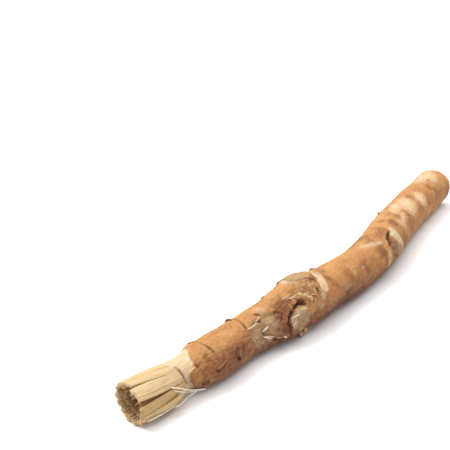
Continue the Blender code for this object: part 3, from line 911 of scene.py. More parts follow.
@dataclass(frozen=True)
class FibreFinish:
    """Split root wood: cream fibres side by side, browner inside, partly as painted shade, and
    dirtier at the tips.
    """

    name: str = "fibres"
    cream: Row = rgb(190, 164, 121)
    straw: Row = rgb(174, 139, 91)
    olive: Row = rgb(165, 135, 83)
    brown: Row = rgb(148, 84, 46)
    white: Row = rgb(214, 205, 188)
    relief: float = 0.00008

    def material(self) -> Material:
        """Make the material.

        Returns:
            The material.
        """
        graph = Graph(self.name, {"Specular IOR Level": 0.35, "Subsurface Weight": 0.08,
                                  "Subsurface Scale": 0.0006})
        grain = graph.attribute("grain", 1)
        streaks = graph.lumps(grain, 2.6, 3.0, 0.6)
        hairs = graph.lumps(grain, 9.0, 2.0, 0.6)
        tone, bleached, inside = (graph.attribute(name) for name in WEAR_AND_SHADE)
        colour = graph.coat(
            self.cream, (tone, self.olive), (streaks.ramp(0.5, 0.34), self.straw),
            (hairs.ramp(0.42, 0.3) * 0.5, self.brown), (bleached, self.white), (inside, self.brown))
        return graph.finish(colour, 0.55 + 0.25 * streaks, streaks * 0.5 + hairs * 0.5, self.relief)


@dataclass(frozen=True)
class FlakeFinish:
    """Thin dried flakes of bark: brown outside, with paler broken edges."""

    brown: Row = rgb(110, 65, 38)
    tan: Row = rgb(148, 100, 60)
    gold: Row = rgb(160, 112, 66)
    cream: Row = rgb(189, 171, 143)
    dark: Row = rgb(66, 35, 24)
    relief: float = 0.00012

    def material(self) -> Material:
        """Make the material.

        Returns:
            The material.
        """
        graph = Graph("flakes", {"Specular IOR Level": 0.3})
        coarse = graph.lumps(graph.places(), 900.0, 3.0, 0.6)
        grain = graph.lumps(graph.places(), 3000.0, 2.0, 0.6)
        tone, bleached, inside = (graph.attribute(name) for name in WEAR_AND_SHADE)
        colour = graph.coat(
            self.brown, (coarse.ramp(0.4, 0.62), self.tan), (tone, self.gold),
            (grain.ramp(0.46, 0.32) * 0.35, self.dark), (bleached, self.cream), (inside, self.dark))
        return graph.finish(colour, 0.65 + 0.25 * grain, grain * 0.5 + coarse * 0.5, self.relief)


@dataclass(frozen=True)
class FloorFinish:
    """Plain pale paper, barely uneven."""

    pale: Row = rgb(241, 240, 240)
    dim: Row = rgb(238, 237, 237)
    relief: float = 0.00001

    def material(self) -> Material:
        """Make the material.

        Returns:
            The material.
        """
        graph = Graph("floor", {"Specular IOR Level": 0.1})
        cloud = graph.lumps(graph.places(), 9.0, 2.0, 0.5)
        colour = graph.mix(cloud, self.pale, self.dim)
        return graph.finish(colour, 0.8 + 0.1 * cloud, cloud, self.relief)


def grid_between(shape: Shape, rows: int, columns: int) -> list[bmesh.types.BMVert]:
    """Add a flat grid whose corners run from 0 to 1 both ways.

    Args:
        shape: the mesh that it is added to.
        rows: how many faces it has along X.
        columns: how many it has along Y.

    Returns:
        Its corners.
    """
    grid = bmesh.ops.create_grid(shape, x_segments=rows, y_segments=columns, size=0.5)["verts"]
    bmesh.ops.translate(shape, vec=(0.5, 0.5, 0), verts=grid)
    return grid


def object_of(shape: Shape, name: str) -> Piece:
    """Make a smooth object in the scene, with its faces pointing out.

    Args:
        shape: its mesh, which is used up.
        name: its name.

    Returns:
        The object.
    """
    bmesh.ops.recalc_face_normals(shape, faces=shape.faces)
    mesh = bpy.data.meshes.new(name)
    shape.to_mesh(mesh)
    shape.free()
    mesh.shade_smooth()
    made = bpy.data.objects.new(name, mesh)
    bpy.context.scene.collection.objects.link(made)
    return made


def carry(piece: Piece, material: Material) -> None:
    """Let a piece ride on the stick's body, with its finish.

    Args:
        piece: the piece.
        material: what it is dressed in.
    """
    piece.data.materials.append(material)
    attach(piece, ROOT)


@dataclass
class Trunk:
    """The bark and the wood from the floor of the brush's hollow to the far cut."""

    skin: Skin
    # from this distance on, rows this far apart
    steps: Sequence[Row] = (
        (5.5, 0.8), (9.5, 0.3), (11, 0.16), (60.5, 0.3), (65.5, 0.42), (86, 0.22), (104.5, 0.5),
        (158, 0.3),
    )
    # how far from the end the steps stop, and how far from it the last rows lie
    stepped_to: float = 1.3
    last_rows: Sequence[float] = (1.2, 0.9, 0.6, 0.3, 0.0)
    # shares of the radius of the far cut's rings; where even steps start, and their number
    rim: Sequence[float] = (0.98, 0.95, 0.92, 0.9, 0.88, 0.85)
    inner: Row = (0.8, 15)
    # columns round the stick, which crowd about an angle on the side towards the camera
    columns: int = 158
    crowding: float = 0.24
    crowded_angle: float = -48.0
    # how far the middle of the far cut sinks, in how many waves round it, and over what
    # length the cut is squared
    sink: float = 0.12
    waves: int = 3
    squaring: Row = (14, 1)
    # how granular the bark is: everywhere, more so near the brush, and at the far end
    granular: Row = (0.25, 0.75, 0.1)
    near_ramp: Row = (58, 40)
    far_ramp: Row = (100, 120)
    # the far cut, in shares of its radius: its rim, its wood, the line under the bark with
    # its spread, the rings' closeness and waviness, the pith and its core, rays and blots
    cut_rim: float = 0.96
    wood_ramp: Row = (0.93, 0.87)
    line: Row = (0.89, 0.022)
    rings: Row = (38.0, 2.5)
    pith_ramp: Row = (0.25, 0.0)
    core_ramp: Row = (0.09, 0.04)
    ray_scale: float = 16.0
    ray_ramp: Row = (0.12, 0.4)
    blot_scale: float = 5.0
    blot_ramp: Row = (0.1, 0.6)

    def rows(self) -> Array:
        """List the rows of the mesh.

        Returns:
            A distance and a share of the full radius for each row.
        """
        start, last = self.steps[0][0], STEM.length - self.stepped_to
        places = [start]
        while places[-1] < last:
            places.append(places[-1] + [step for at, step in self.steps if places[-1] >= at][-1])
        places = [place for place in places if place < last]
        places += [STEM.length - drop for drop in self.last_rows]
        share, number = self.inner
        shares = (*self.rim, *np.linspace(share, 0.0, int(number)))
        cap = [(STEM.length, share) for share in shares]
        return np.array([(start, 0.0), (start, 0.5), *((place, 1.0) for place in places), *cap])

    def build(self) -> Piece:
        """Roll a grid up to the stick and press the relief into it.

        Returns:
            The object, with its tints on its corners.
        """
        rows = self.rows()
        shape = bmesh.new()
        grid_between(shape, len(rows) - 1, self.columns)
        mesh = bpy.data.meshes.new("grid")
        shape.to_mesh(mesh)
        flat = np.empty(len(mesh.vertices) * 3)
        mesh.vertices.foreach_get("co", flat)
        flat = flat.reshape(-1, 3)
        distance, share = rows[np.rint(flat[:, 0] * (len(rows) - 1)).astype(int)].T
        turn = flat[:, 1] * 360.0 - 180.0
        crowd = np.degrees(np.sin(np.radians(turn - self.crowded_angle)))
        angle = apart(turn - self.crowding * crowd, 0.0)

        radius, tints = self.skin.read(distance, angle)
        capped = (distance == STEM.length) & (share < 1)
        self._stain_cut(tints, capped, share, angle)
        points = STEM.place(distance, angle, radius * share)
        uneven = 1 + np.sin(np.radians(angle) * self.waves) * smooth_step(0.0, 0.5, share)
        points[:, 0] -= np.where(capped, self.sink * (1 - share) * uneven, 0)
        # the far cut stands square on the middle line
        lean = STEM.middle(STEM.length) - STEM.middle(STEM.length - 1)
        squared = smooth_step(*(STEM.length - back for back in self.squaring), distance)
        points[:, 0] -= squared * ((points - STEM.middle(distance))[:, 1:] @ lean[1:])
        points[:, 2] = np.maximum(points[:, 2], 0.0)
        mesh.vertices.foreach_set("co", (points * MM).ravel())
        values = {tint.value: tints[tint] for tint in Tint}
        least, near, far = self.granular
        near = near * smooth_step(*self.near_ramp, distance)
        values["granular"] = least + near + far * smooth_step(*self.far_ramp, distance)
        for name, value in values.items():
            data = mesh.attributes.new(name, "FLOAT", "POINT").data
            data.foreach_set("value", value.astype(np.float32))

        shape.clear()
        shape.from_mesh(mesh)
        bpy.data.meshes.remove(mesh)
        bmesh.ops.remove_doubles(shape, verts=shape.verts, dist=SEAM)
        return object_of(shape, "bark_and_wood")

    def _stain_cut(self, tints: Tints, capped: Array, share: Array, angle: Array) -> None:
        """Stain the far cut: a dark line under the bark, rings, rays and the pith.

        Args:
            tints: the tints of all places, which are changed.
            capped: which places lie on the cut.
            share: how far out they lie, as a share of the radius.
            angle: their angles.
        """
        out = STEM.outward(angle)
        frayed = self.skin.fray_lumps(out * share[:, None] * self.blot_scale + 3.0, 3)
        rays = self.skin.fine_lumps(out * self.ray_scale + share[:, None], 2)
        rays = smooth_step(*self.blot_ramp, rays) * smooth_step(*self.ray_ramp, share)
        wood = smooth_step(*self.wood_ramp, share + 0.02 * frayed)
        close, wavy = self.rings
        rings = np.sin(share * close + wavy * frayed) ** 2
        pith, core = smooth_step(*self.pith_ramp, share), smooth_step(*self.core_ramp, share)
        blots = smooth_step(*self.blot_ramp, frayed)
        line = bell(share + 0.015 * frayed, *self.line)
        stains = {
            Tint.BARE: 0.8 * wood,
            Tint.OLIVE: wood * (0.25 + 0.45 * rings),
            Tint.RUST_AND_SHADE: 0.35 * (1 - wood) + wood * np.maximum(0.55 * pith, 0.5 * blots),
            Tint.PALE: 0.4 * wood * rays,
            Tint.DARK: np.maximum(0.7 * line, 0.6 * core),
            Tint.GOLD: 0.0,
            Tint.LIGHT: 0.0,
        }
        for tint, cover in stains.items():
            tints[tint] = np.where(capped & (share < self.cut_rim), cover, tints[tint])

    def dress(self, piece: Piece) -> None:
        """Give the trunk its bark, and let it stand for the solid."""
        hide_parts(NODE)
        carry(piece, BarkFinish().material())


@dataclass(frozen=True)
class Thread:
    """One strand: its middle line, its width directions and its half sizes, in millimetres."""

    centres: Array
    sides: Array
    ups: Array
    half_width: Array
    half_height: Array
    tone: float = 0.0
    bleached: float = 0.0
    inside: Array | float = 0.0


class Strands:
    """Many strands of wood in one mesh, each a closed bar with its own grain."""

    # how much the grain is drawn out, and how far it is moved from strand to strand
    STRETCH = 0.14
    MOVE = (3.7, 1.3)

    def __init__(self, sides: int = 10, square: float = 0.32) -> None:
        """Start with no strands.

        Args:
            sides: corners round a strand.
            square: 1 for an oval section, and less for a squarer one.
        """
        self.shape = bmesh.new()
        self.sides = sides
        self.square = square
        layers = self.shape.verts.layers
        self.values = [layers.float.new(name) for name in WEAR_AND_SHADE]
        self.grain = layers.float_vector.new("grain")
        self.count = 0

    def _squared(self, value: float) -> float:
        """A sine or a cosine drawn out towards the section's corners."""
        return math.copysign(abs(value) ** self.square, value)

    def add(self, thread: Thread) -> None:
        """Roll a grid up round a strand's line, close its ends and mark its grain.

        Args:
            thread: the strand.
        """
        self.count += 1
        rows = len(thread.centres)
        inside = np.broadcast_to(thread.inside, rows)
        corners = grid_between(self.shape, rows + 1, self.sides)
        for corner in corners:
            step = round(corner.co.x * (rows + 1))
            index, full = min(max(step - 1, 0), rows - 1), 0 < step <= rows
            turn = 2 * math.pi * corner.co.y
            across = self._squared(math.cos(turn)) * full * thread.half_width[index]
            over = self._squared(math.sin(turn)) * full * thread.half_height[index]
            point = thread.centres[index] + thread.sides[index] * across + thread.ups[index] * over
            point[2] = max(point[2], CLEARANCE)
            corner.co = Vector(point * MM)
            along, up = (self.count * move for move in self.MOVE)
            corner[self.grain] = Vector((point[0] * self.STRETCH + along, across, over + up))
            for layer, value in zip(self.values, (thread.tone, thread.bleached, inside[index])):
                corner[layer] = float(value)
        bmesh.ops.remove_doubles(self.shape, verts=corners, dist=SEAM)

    def finish(self, name: str) -> Piece:
        """Make the object."""
        LOG.info("%s: %d strands", name, self.count)
        return object_of(self.shape, name)


@dataclass(frozen=True)
class Bundle:
    """A flat bundle of bristles, split from its neighbours."""

    tip_angle: float
    root_angle: float
    half_width: float
    tip: float
    tip_radius: float
    bulge: float
    tone: float
    ragged: float
    bleached: float = 0.0
    layers: int = 3
    inside: float = 0.0
    # share of the half width at the tip, and how much of it more there is at the root
    spread: Row = (0.93, 0.32)
    # the neck's radius, how much lower it is on top, and the crown of the outer face
    root_radius: float = 3.88
    root_dip: float = 0.2
    crown: float = 0.12

    def spot(self, part: Array, across: Array, depth: Array) -> Array:
        """Find points of the bundle.

        Args:
            part: 0 at the tip and 1 at the root.
            across: -1 and 1 at the long edges.
            depth: how far under the outer face, in millimetres.

        Returns:
            The points, in millimetres.
        """
        least, more = self.spread
        angle = self.tip_angle + (self.root_angle - self.tip_angle) * part
        angle = angle + self.half_width * across * (least + more * part)
        neck = np.interp(apart(angle, 0.0), *zip(*NECK))
        distance = self.tip + (neck - self.tip) * part
        rise = np.clip(part, 0, None)
        root = self.root_radius - self.root_dip * np.clip(np.cos(np.radians(angle)), 0, 1) ** 3
        radius = self.tip_radius + (root - self.tip_radius) * rise**1.8
        bulge = self.bulge * np.sin(math.pi * np.clip(rise, 0, 1) ** 1.6)
        return STEM.place(distance, angle, radius + bulge - self.crown * across**2 - depth)


# The brush's bundles, from the one at the top round by the camera's side: angle of the tip
# and of the root, half width, distance and radius of the tip, bulge, tone, raggedness,
# paleness, layers of strands, and how brown, as painted shade.  The last is the sliver
# between two of them, browned as painted shade in the gap.
BUNDLES = (
    (12, -5, 24, 1.2, 4.8, 0, 0.2, 0.1), (-35, -49, 19.6, 0.4, 4.6, 0, 0, 0.05, 0.05),
    (-85, -93, 13.5, 0.4, 4.3, 0, 0.65, 0.1), (-122, -122, 17, 1.2, 4.3, 0.8, 0.25, 0.16),
    (-160, -158, 18, 1.6, 4.3, 0.2, 0.3, 0.14, 0, 2), (162, 164, 18.8, 2, 4.4, 0, 0.3, 0.14, 0, 2),
    (126, 124, 17.8, 2.2, 4.4, 0, 0.35, 0.18, 0, 2), (91, 84, 18.4, 2.1, 4.45, 0, 0.45, 0.14, 0, 2),
    (55, 42, 18.8, 1.9, 4.75, 0, 0.5, 0.14, 0, 2),
    (-66, -73, 10, 1.4, 3.5, 0, 0.4, 0.35, 0, 2, 0.75),
)


@dataclass
class Brush:
    """The frayed end: bundles of strands round a dark hollow."""

    bundles: Sequence[Bundle] = tuple(Bundle(*row) for row in BUNDLES)
    strand_width: float = 0.6
    inner_width: float = 0.85
    # depth, half thickness and drawing back of each layer of a bundle
    layers: Sequence[Row] = ((0.3, 0.32, 0.0), (0.8, 0.3, 1.5), (1.2, 0.26, 2.6))
    rows: int = 16
    reach: float = 11.5
    # how a strand strays: sideways at its tip, in a bow of so many radians, and outwards
    stray: float = 0.05
    bow: float = 0.04
    turns: Row = (3, 7)
    sprung: float = 0.1
    # the share of the strands that are sunk, and how deep
    sunk: Row = (0.2, 0.08)
    # the root's last two rows: their size, and how far they dive into the neck
    root_sizes: Row = (0.8, 0.3)
    root_dive: Row = (0.06, 0.2)
    # how much a strand is wider than its share, in the outer layer and the others
    outer_fit: float = 1.28
    inner_fit: Row = (0.95, 1.15)
    # painted shade on the inner strands, and how much more of it there is towards the root
    inner_shade: Row = (0.25, 0.5)
    root_shade_ramp: Row = (0.15, 0.45)
    inner_tone: float = 0.4
    fuzz: int = 12
    fuzz_sizes: Row = (0.35, 0.7, 0.9, 1.0, 1.0)
    hollow_strands: int = 18
    hollow_sizes: Row = (0.7, 0.9, 1.0, 1.0, 1.0)
    # at what distance the hollow's strands end, how much farther out they reach on the side
    # where they are longest, which side that is, and where the hollow's floor lies
    hollow_tip: float = 5.2
    hollow_longer: float = 1.8
    longest_angle: float = -120.0
    hollow_floor: float = 6.5
    seed: int = 21

    def _strands_of(self, bundle: Bundle, strands: Strands, chance: np.random.Generator) -> None:
        """Lay a bundle's strands side by side, the outer layer tight and the inner ones loose.

        Args:
            bundle: the bundle.
            strands: the mesh to add them to.
            chance: the source of their unevenness.
        """
        for layer in range(bundle.layers):
            width = math.radians(bundle.half_width) * 2 * bundle.tip_radius
            each = self.strand_width * (self.inner_width if layer else 1.0)
            number = max(3, round(width / each))
            edges = np.linspace(-1, 1, number + 1)
            edges[1:-1] += chance.uniform(-0.4, 0.4, number - 1) * (2 / number)
            for pair in pairwise(edges):
                self._strand(bundle, strands, chance, layer, pair)

    def _strand(self, bundle: Bundle, strands: Strands, chance: np.random.Generator, layer: int,
                edges: tuple[float, float]) -> None:
        """Add one strand of a layer.

        Args:
            bundle: the bundle that it belongs to.
            strands: the mesh to add it to.
            chance: the source of its unevenness.
            layer: 0 for the outer layer.
            edges: where its long edges lie across the bundle.
        """
        outer = layer == 0
        depth, half_height, back = self.layers[layer]
        tip = (chance.normal(0, bundle.ragged * (1 + 0.3 * layer)) + back) / self.reach
        root = 1.0 + chance.normal(0, 0.12 * bundle.ragged) * outer
        run = tip + np.linspace(0, 1, self.rows - 2) ** 1.15 * (root - 0.015 - tip)
        part = np.concatenate([run, [root, root + 0.012]])
        low, high = (bundle.spot(part, edge, depth) for edge in edges)
        side = (high - low) / 2
        half_width = np.linalg.norm(side, axis=1)
        side = unit(side)
        up = unit(np.cross(np.gradient((low + high) / 2, axis=0), side))
        up *= np.sign(up @ STEM.outward(bundle.tip_angle))[:, None]
        wander = chance.uniform(-self.stray, self.stray) * (1 - part)
        bow = chance.uniform(-self.bow, self.bow)
        wander += bow * np.sin(part * chance.uniform(*self.turns))
        lift = chance.normal(0, 0.03) * (1 - 0.6 * part)
        lift += chance.uniform(0, self.sprung) * outer * (1 - part) ** 4
        rate, sink = self.sunk
        lift -= sink * (chance.random() < rate)
        centres = (low + high) / 2 + side * wander[:, None] + up * lift[:, None]
        ending = np.ones(len(part))
        ending[-2:] = self.root_sizes
        ending[0] = chance.uniform(0.8, 1.0)
        centres[-2:] -= up[-2:] * np.array(self.root_dive)[:, None]
        fit = self.outer_fit if outer else chance.uniform(*self.inner_fit)
        # painted shade: inner strands browner, more so towards the root and in deeper layers
        least, more = self.inner_shade
        shade = (not outer) * (least + more * smooth_step(*self.root_shade_ramp, part))
        strands.add(Thread(
            centres, side, up, half_width * fit * ending,
            half_height * ending * chance.uniform(0.92, 1.06),
            clipped(bundle.tone + chance.normal(0, 0.1)) * (1.0 if outer else self.inner_tone),
            clipped(bundle.bleached + chance.normal(0.0, 0.05), 0.5),
            np.clip(bundle.inside + shade + 0.05 * layer, 0, 1)))

    def _fuzz(self, bundle: Bundle, strands: Strands, chance: np.random.Generator) -> None:
        """Add short broken fibres that stick out of a bundle's tip.

        Args:
            bundle: the bundle.
            strands: the mesh to add them to.
            chance: the source of their unevenness.
        """
        for _ in range(self.fuzz):
            across, depth = chance.uniform(-0.95, 0.95), chance.uniform(0.1, 1.0)
            start = chance.uniform(0.1, 0.2)
            end = -chance.uniform(0.0, 0.05) * (1 + 2.5 * bundle.ragged)
            centres = bundle.spot(np.linspace(end, start, 5), np.full(5, across), np.full(5, depth))
            bend = (1 - np.linspace(0, 1, 5)) ** 2
            centres += bend[:, None] * chance.normal(0, 0.22, 3) * (0.4, 1, 1)
            thick = np.array(self.fuzz_sizes) * chance.uniform(0.04, 0.08)
            tone = clipped(bundle.tone + chance.normal(0.1, 0.2))
            # fibres that start deeper are browner, as painted shade
            colours = tone, chance.uniform(0, 0.4), 0.08 * depth
            self._stub(strands, centres, bundle.tip_angle, (thick * 1.3, thick), colours)

    def _stub(self, strands: Strands, centres: Array, angle: float, sizes: tuple[Array, Array],
              colours: tuple) -> None:
        """Add a short straight strand.

        Args:
            strands: the mesh to add it to.
            centres: its points, in millimetres.
            angle: the angle that it faces.
            sizes: half its width and height at each point.
            colours: its tone, its paleness and how brown it is.
        """
        out = STEM.outward(angle)
        ways = (np.tile(way, (len(centres), 1)) for way in (np.cross(out, (1.0, 0, 0)), out))
        strands.add(Thread(centres, *ways, *sizes, *colours))

    def _fill(self, strands: Strands, chance: np.random.Generator) -> None:
        """Stand loose ends up in the hollow, the longest low on the camera's side.

        Args:
            strands: the mesh to add them to.
            chance: the source of their unevenness.
        """
        for _ in range(self.hollow_strands):
            angle, radius = chance.uniform(-180, 180), chance.uniform(0.9, 2.8)
            long = 0.5 + 0.5 * math.cos(math.radians(angle - self.longest_angle))
            tip = self.hollow_tip - self.hollow_longer * long
            tip = tip + chance.uniform(-0.5, 0.5) - 0.5 * (radius - 1.8)
            distance = np.linspace(tip, self.hollow_floor, 5)
            radii = np.linspace(radius, radius * 0.8, 5)
            centres = STEM.place(distance, np.full(5, angle), radii)
            thick = np.array(self.hollow_sizes) * chance.uniform(0.12, 0.3)
            # painted shade: the loose ends darken towards the hollow's floor
            colours = 0.6, 0.0, np.linspace(0.3, 1.0, 5) * chance.uniform(0.5, 1.0)
            self._stub(strands, centres, angle, (thick * 1.4, thick), colours)

    def build(self) -> Piece:
        """Lay all the bundles' strands and the loose ends in the hollow.

        Returns:
            The object.
        """
        chance = np.random.default_rng(self.seed)
        strands = Strands()
        for bundle in self.bundles:
            self._strands_of(bundle, strands, chance)
            self._fuzz(bundle, strands, chance)
        self._fill(strands, chance)
        return strands.finish("brush")

    def dress(self, piece: Piece) -> None:
        """Give the brush its fibres' finish."""
        carry(piece, FibreFinish().material())


@dataclass(frozen=True)
class Hair:
    """A loose fibre through places: distance, angle, radius; its thickness and colours.

    The third number of a lying fibre's places is its height over the bark.
    """

    places: Sequence[Row]
    thickness: float
    tone: float = 0.0
    bleached: float = 0.0
    inside: float = 0.0
    lying: bool = False


@dataclass(frozen=True)
class Tuft:
    """Short torn fibres round a place: spread, number, length and how far they stand up."""

    distance: float
    angle: float
    spread: float
    number: int
    length: float
    lift: float
    tone: float = 0.5
    inside: float = 0.1


# Fibres that have sprung from the brush: places, thickness, tone, paleness, how brown
SPRUNG: Sequence[tuple] = (
    (((8.2, -66, 4.2), (9.6, -76, 4.55), (12.4, -98, 5), (16.4, -113, 5.75)), 0.3, 0, 0.95),
    (((8.6, -78, 4.15), (10.4, -92, 4.65), (13.2, -106, 5.2), (16.3, -113, 5.72)), 0.22, 0, 0.9),
    (((1.6, -118, 4.75), (5, -120, 4.9), (8, -122, 4.95), (9.6, -126, 5.05)), 0.46, 0, 0.8),
    (((9, -126, 5), (10.2, -126, 5.3), (12.2, -121, 5), (14.8, -118, 5)), 0.5, 0, 1),
    (((2.4, -78, 3), (0.6, -90, 3.6), (-0.2, -112, 4.2), (0.4, -128, 4.9)), 0.15, 0.1, 0.55),
    (((4, -128, 4.6), (6.5, -132, 5.8), (10, -128, 7.2)), 0.09, 0.6, 0, 0.55),
    (((2.2, -130, 4.4), (0.6, -142, 4.7), (-0.9, -150, 5)), 0.08, 0.6, 0, 0.4),
    (((2.6, 100, 4.4), (0.8, 104, 4.7), (-0.9, 110, 4.6)), 0.08, 0.6, 0, 0.4),
    (((4.4, -13, 4.3), (5.8, -14, 4.24), (7.2, -16, 4.12), (8.6, -20, 3.95)), 0.5, 1, 0, 0.15),
)
# Slivers that lie on the peeled place, on the front knot and on the near flank
SLIVERS: Sequence[tuple] = (
    (((32.2, -37, 0), (33.8, -38, 0.1), (35.6, -35, 0.1), (36.6, -28, 0.1),
      (38, -23, 0)), 0.42, 0.1, 0.3),
    (((38.3, -57, 0), (37.6, -59, 0.25), (36.8, -61, 0.25), (36.3, -65, 0)), 0.34, 0, 0.5),
    (((37.4, -66, 0), (36.9, -61, 0.3), (37.3, -57, 0.2)), 0.22, 0.1, 0.3),
    (((36.2, -77, 0), (36.8, -84, 0.2), (37.8, -90, 0.3), (38.6, -93, 0.1)), 0.36, 0, 0.6),
    (((36.4, -80, 0), (37.8, -85, 0.4), (38.8, -90, 0.5)), 0.22, 0.1, 0.4),
    (((32.4, -61, 0), (32.9, -70, 0.1), (33.6, -82, 0)), 0.26, 0.3, 0.15),
    (((33.8, -66, 0), (34.2, -75, 0.1), (34, -86, 0)), 0.2, 0.4, 0.1),
    (((34.8, -94, 0), (35.6, -90, 0.1), (36.4, -89, 0)), 0.18, 0.3, 0.2),
    (((42, -106, 0), (42.9, -109, 0.3)), 0.5, 0.1, 0.7),
    (((40.2, -102, 0), (41.2, -105, 0.2)), 0.4, 0.6, 0, 0.4),
    (((47, -58, 0), (48.4, -61, 0.1), (50.2, -66, 0)), 0.34, 0.2, 0.2),
    (((46.3, -53, 0), (47.2, -57, 0.1), (48.9, -62, 0)), 0.26, 0.4, 0.05, 0.1),
    (((44.9, -69, 0.1), (45.5, -66, 0.3), (46.3, -65, 0.1)), 0.32, 0, 0.75),
    (((44.5, -83, 0.1), (44.7, -79, 0.3), (45.2, -77, 0.1)), 0.3, 0, 0.7),
    (((46.8, -24, 0), (48.2, -29, 0.2), (49.2, -37, 0.1)), 0.34, 0.3, 0.15, 0.05),
    (((52.4, -44, 0), (53.5, -50, 0.2), (54.1, -57, 0)), 0.3, 0.2, 0.2),
    (((17.9, -126, 0), (18.6, -112, 0), (19.2, -104, 0)), 0.2, 0.3, 0.1, 0.1),
    (((17, -138, 0), (17.5, -128, 0), (17.9, -120, 0)), 0.2, 0.3, 0.1, 0.1),
)
# In the order of Tuft's fields
TUFTS = (
    (53.2, 44, 0.8, 14, 1.3, 0.6, 0.7, 0.3), (63.2, 10, 1, 12, 1.1, 0.25, 0.6, 0.35),
    (51.5, -35, 2.6, 12, 1.4, 0.15, 0.8, 0.35), (47.6, -60, 1.2, 7, 0.9, 0.2, 0.5, 0.15),
    (55, -60, 1.4, 6, 1.2, 0.15, 0.5, 0.2), (42.6, -107, 0.9, 9, 1, 0.4, 0.5, 0.4),
    (36.8, -82, 2, 14, 1.1, 0.2, 0.5, 0.2), (36.4, -30, 1.2, 10, 1.2, 0.3, 0.4, 0.2),
    (50.6, -126, 0.9, 12, 1.5, 0.8), (33.6, 39, 0.6, 6, 0.9, 0.5, 0.8, 0.3),
    (17.4, -128, 1, 8, 1.3, 0.3, 0.5, 0.4), (113, 50, 0.7, 6, 1.2, 0.6, 0.6, 0.2),
    (52, 66, 2, 12, 1.5, 0.4, 0.6, 0.2),
)


@dataclass
class LooseFibres:
    """Fibres that have sprung from the brush, slivers on the bare wood, and torn tufts."""

    skin: Skin
    hairs: Sequence[Hair] = (
        *(Hair(*row) for row in SPRUNG),
        *(Hair(*row, lying=True) for row in SLIVERS),
    )
    tufts: Sequence[Tuft] = tuple(Tuft(*row) for row in TUFTS)
    finish: FibreFinish = FibreFinish("loose_fibres", rgb(183, 161, 125), rgb(166, 137, 94))
    rows: int = 10
    # what is left of a sprung fibre's thickness at its end
    taper: float = 0.45
    # the part of a half wave that a sliver swells in
    swell: Row = (0.12, 0.94)
    seed: int = 31

    def _smooth(self, points: Array) -> Array:
        """Draw a smooth line through a few points.

        Args:
            points: the points, a row each.

        Returns:
            The line's points.
        """
        table = [(cut, *point) for cut, point in zip(np.linspace(0, 1, len(points)), points)]
        return STEM.read(table, np.linspace(0, 1, self.rows))

    def _strand(self, centres: Array, angle: float, thickness: float, taper: float) -> tuple:
        """Lay a strand along a line.

        Args:
            centres: the line's points, in millimetres.
            angle: the angle that it faces.
            thickness: its thickness.
            taper: the share of the thickness that is left at its end.

        Returns:
            Its points, directions and half sizes.
        """
        run = unit(np.gradient(centres, axis=0))
        side = unit(np.cross(run, STEM.outward(angle)))
        half = thickness / 2 * np.linspace(1.0, taper, len(centres))
        half[0] *= 0.6
        return centres, side, np.cross(side, run), half, half * 0.7

    def _torn(self) -> list[Hair]:
        """Draw the short fibres of all the tufts.

        Returns:
            The fibres.
        """
        chance = np.random.default_rng(self.seed)
        hairs = []
        for tuft in self.tufts:
            girth = float(STEM.girth(tuft.distance))
            for _ in range(tuft.number):
                way = chance.uniform(-1.0, 1.0) + math.pi * (chance.random() < 0.5)
                distance = tuft.distance + chance.normal(0, tuft.spread / 2)
                side = chance.normal(0, tuft.spread / 2)
                length, bend = tuft.length * chance.uniform(0.5, 1.3), chance.normal(0, 0.5)
                lift = abs(chance.normal(0, tuft.lift))
                places = []
                for part in (0.0, 0.4, 0.75, 1.0):
                    turn, run = way + bend * part, length * part
                    angle = tuft.angle + math.degrees((side + run * math.sin(turn)) / girth)
                    places.append((distance + run * math.cos(turn), angle, lift * part**1.5))
                hairs.append(Hair(
                    places, chance.uniform(0.06, 0.18),
                    clipped(tuft.tone + chance.normal(0, 0.25)), chance.uniform(0, 0.15),
                    clipped(tuft.inside + chance.normal(0.05, 0.15)), True))
        return hairs

    def build(self) -> Piece:
        """Bend every loose fibre, sliver and torn fibre.

        Returns:
            The object.
        """
        strands = Strands(sides=6, square=0.9)
        for hair in (*self.hairs, *self._torn()):
            places, colours = np.array(hair.places, float), (hair.tone, hair.bleached, hair.inside)
            if not hair.lying:
                centres = self._smooth(STEM.place(*places.T))
                line = self._strand(centres, places[1, 1], hair.thickness, self.taper)
                strands.add(Thread(*line, *colours))
                continue
            distance, angle, rise = self._smooth(places).T
            centres = STEM.place(distance, angle, self.skin.read(distance, angle)[0] + rise)
            *line, half, _ = self._strand(centres, places[0, 1], hair.thickness, 1.0)
            half = half * np.sin(np.linspace(*self.swell, len(half)) * math.pi) ** 0.7
            strands.add(Thread(*line, half, half * 0.5, *colours))
        return strands.finish("loose_fibres")

    def dress(self, piece: Piece) -> None:
        """Give the loose fibres their finish."""
        carry(piece, self.finish.material())


@dataclass(frozen=True)
class Flake:
    """A curled flake of bark whose foot is in the wood and whose free edge stands up."""

    distance: float
    angle: float
    length: float
    width: float
    thickness: float
    lift: float
    turn: float
    curl: float = 0.0
    tone: float = 0.0
    bleached: float = 0.0
    inside: float = 0.0


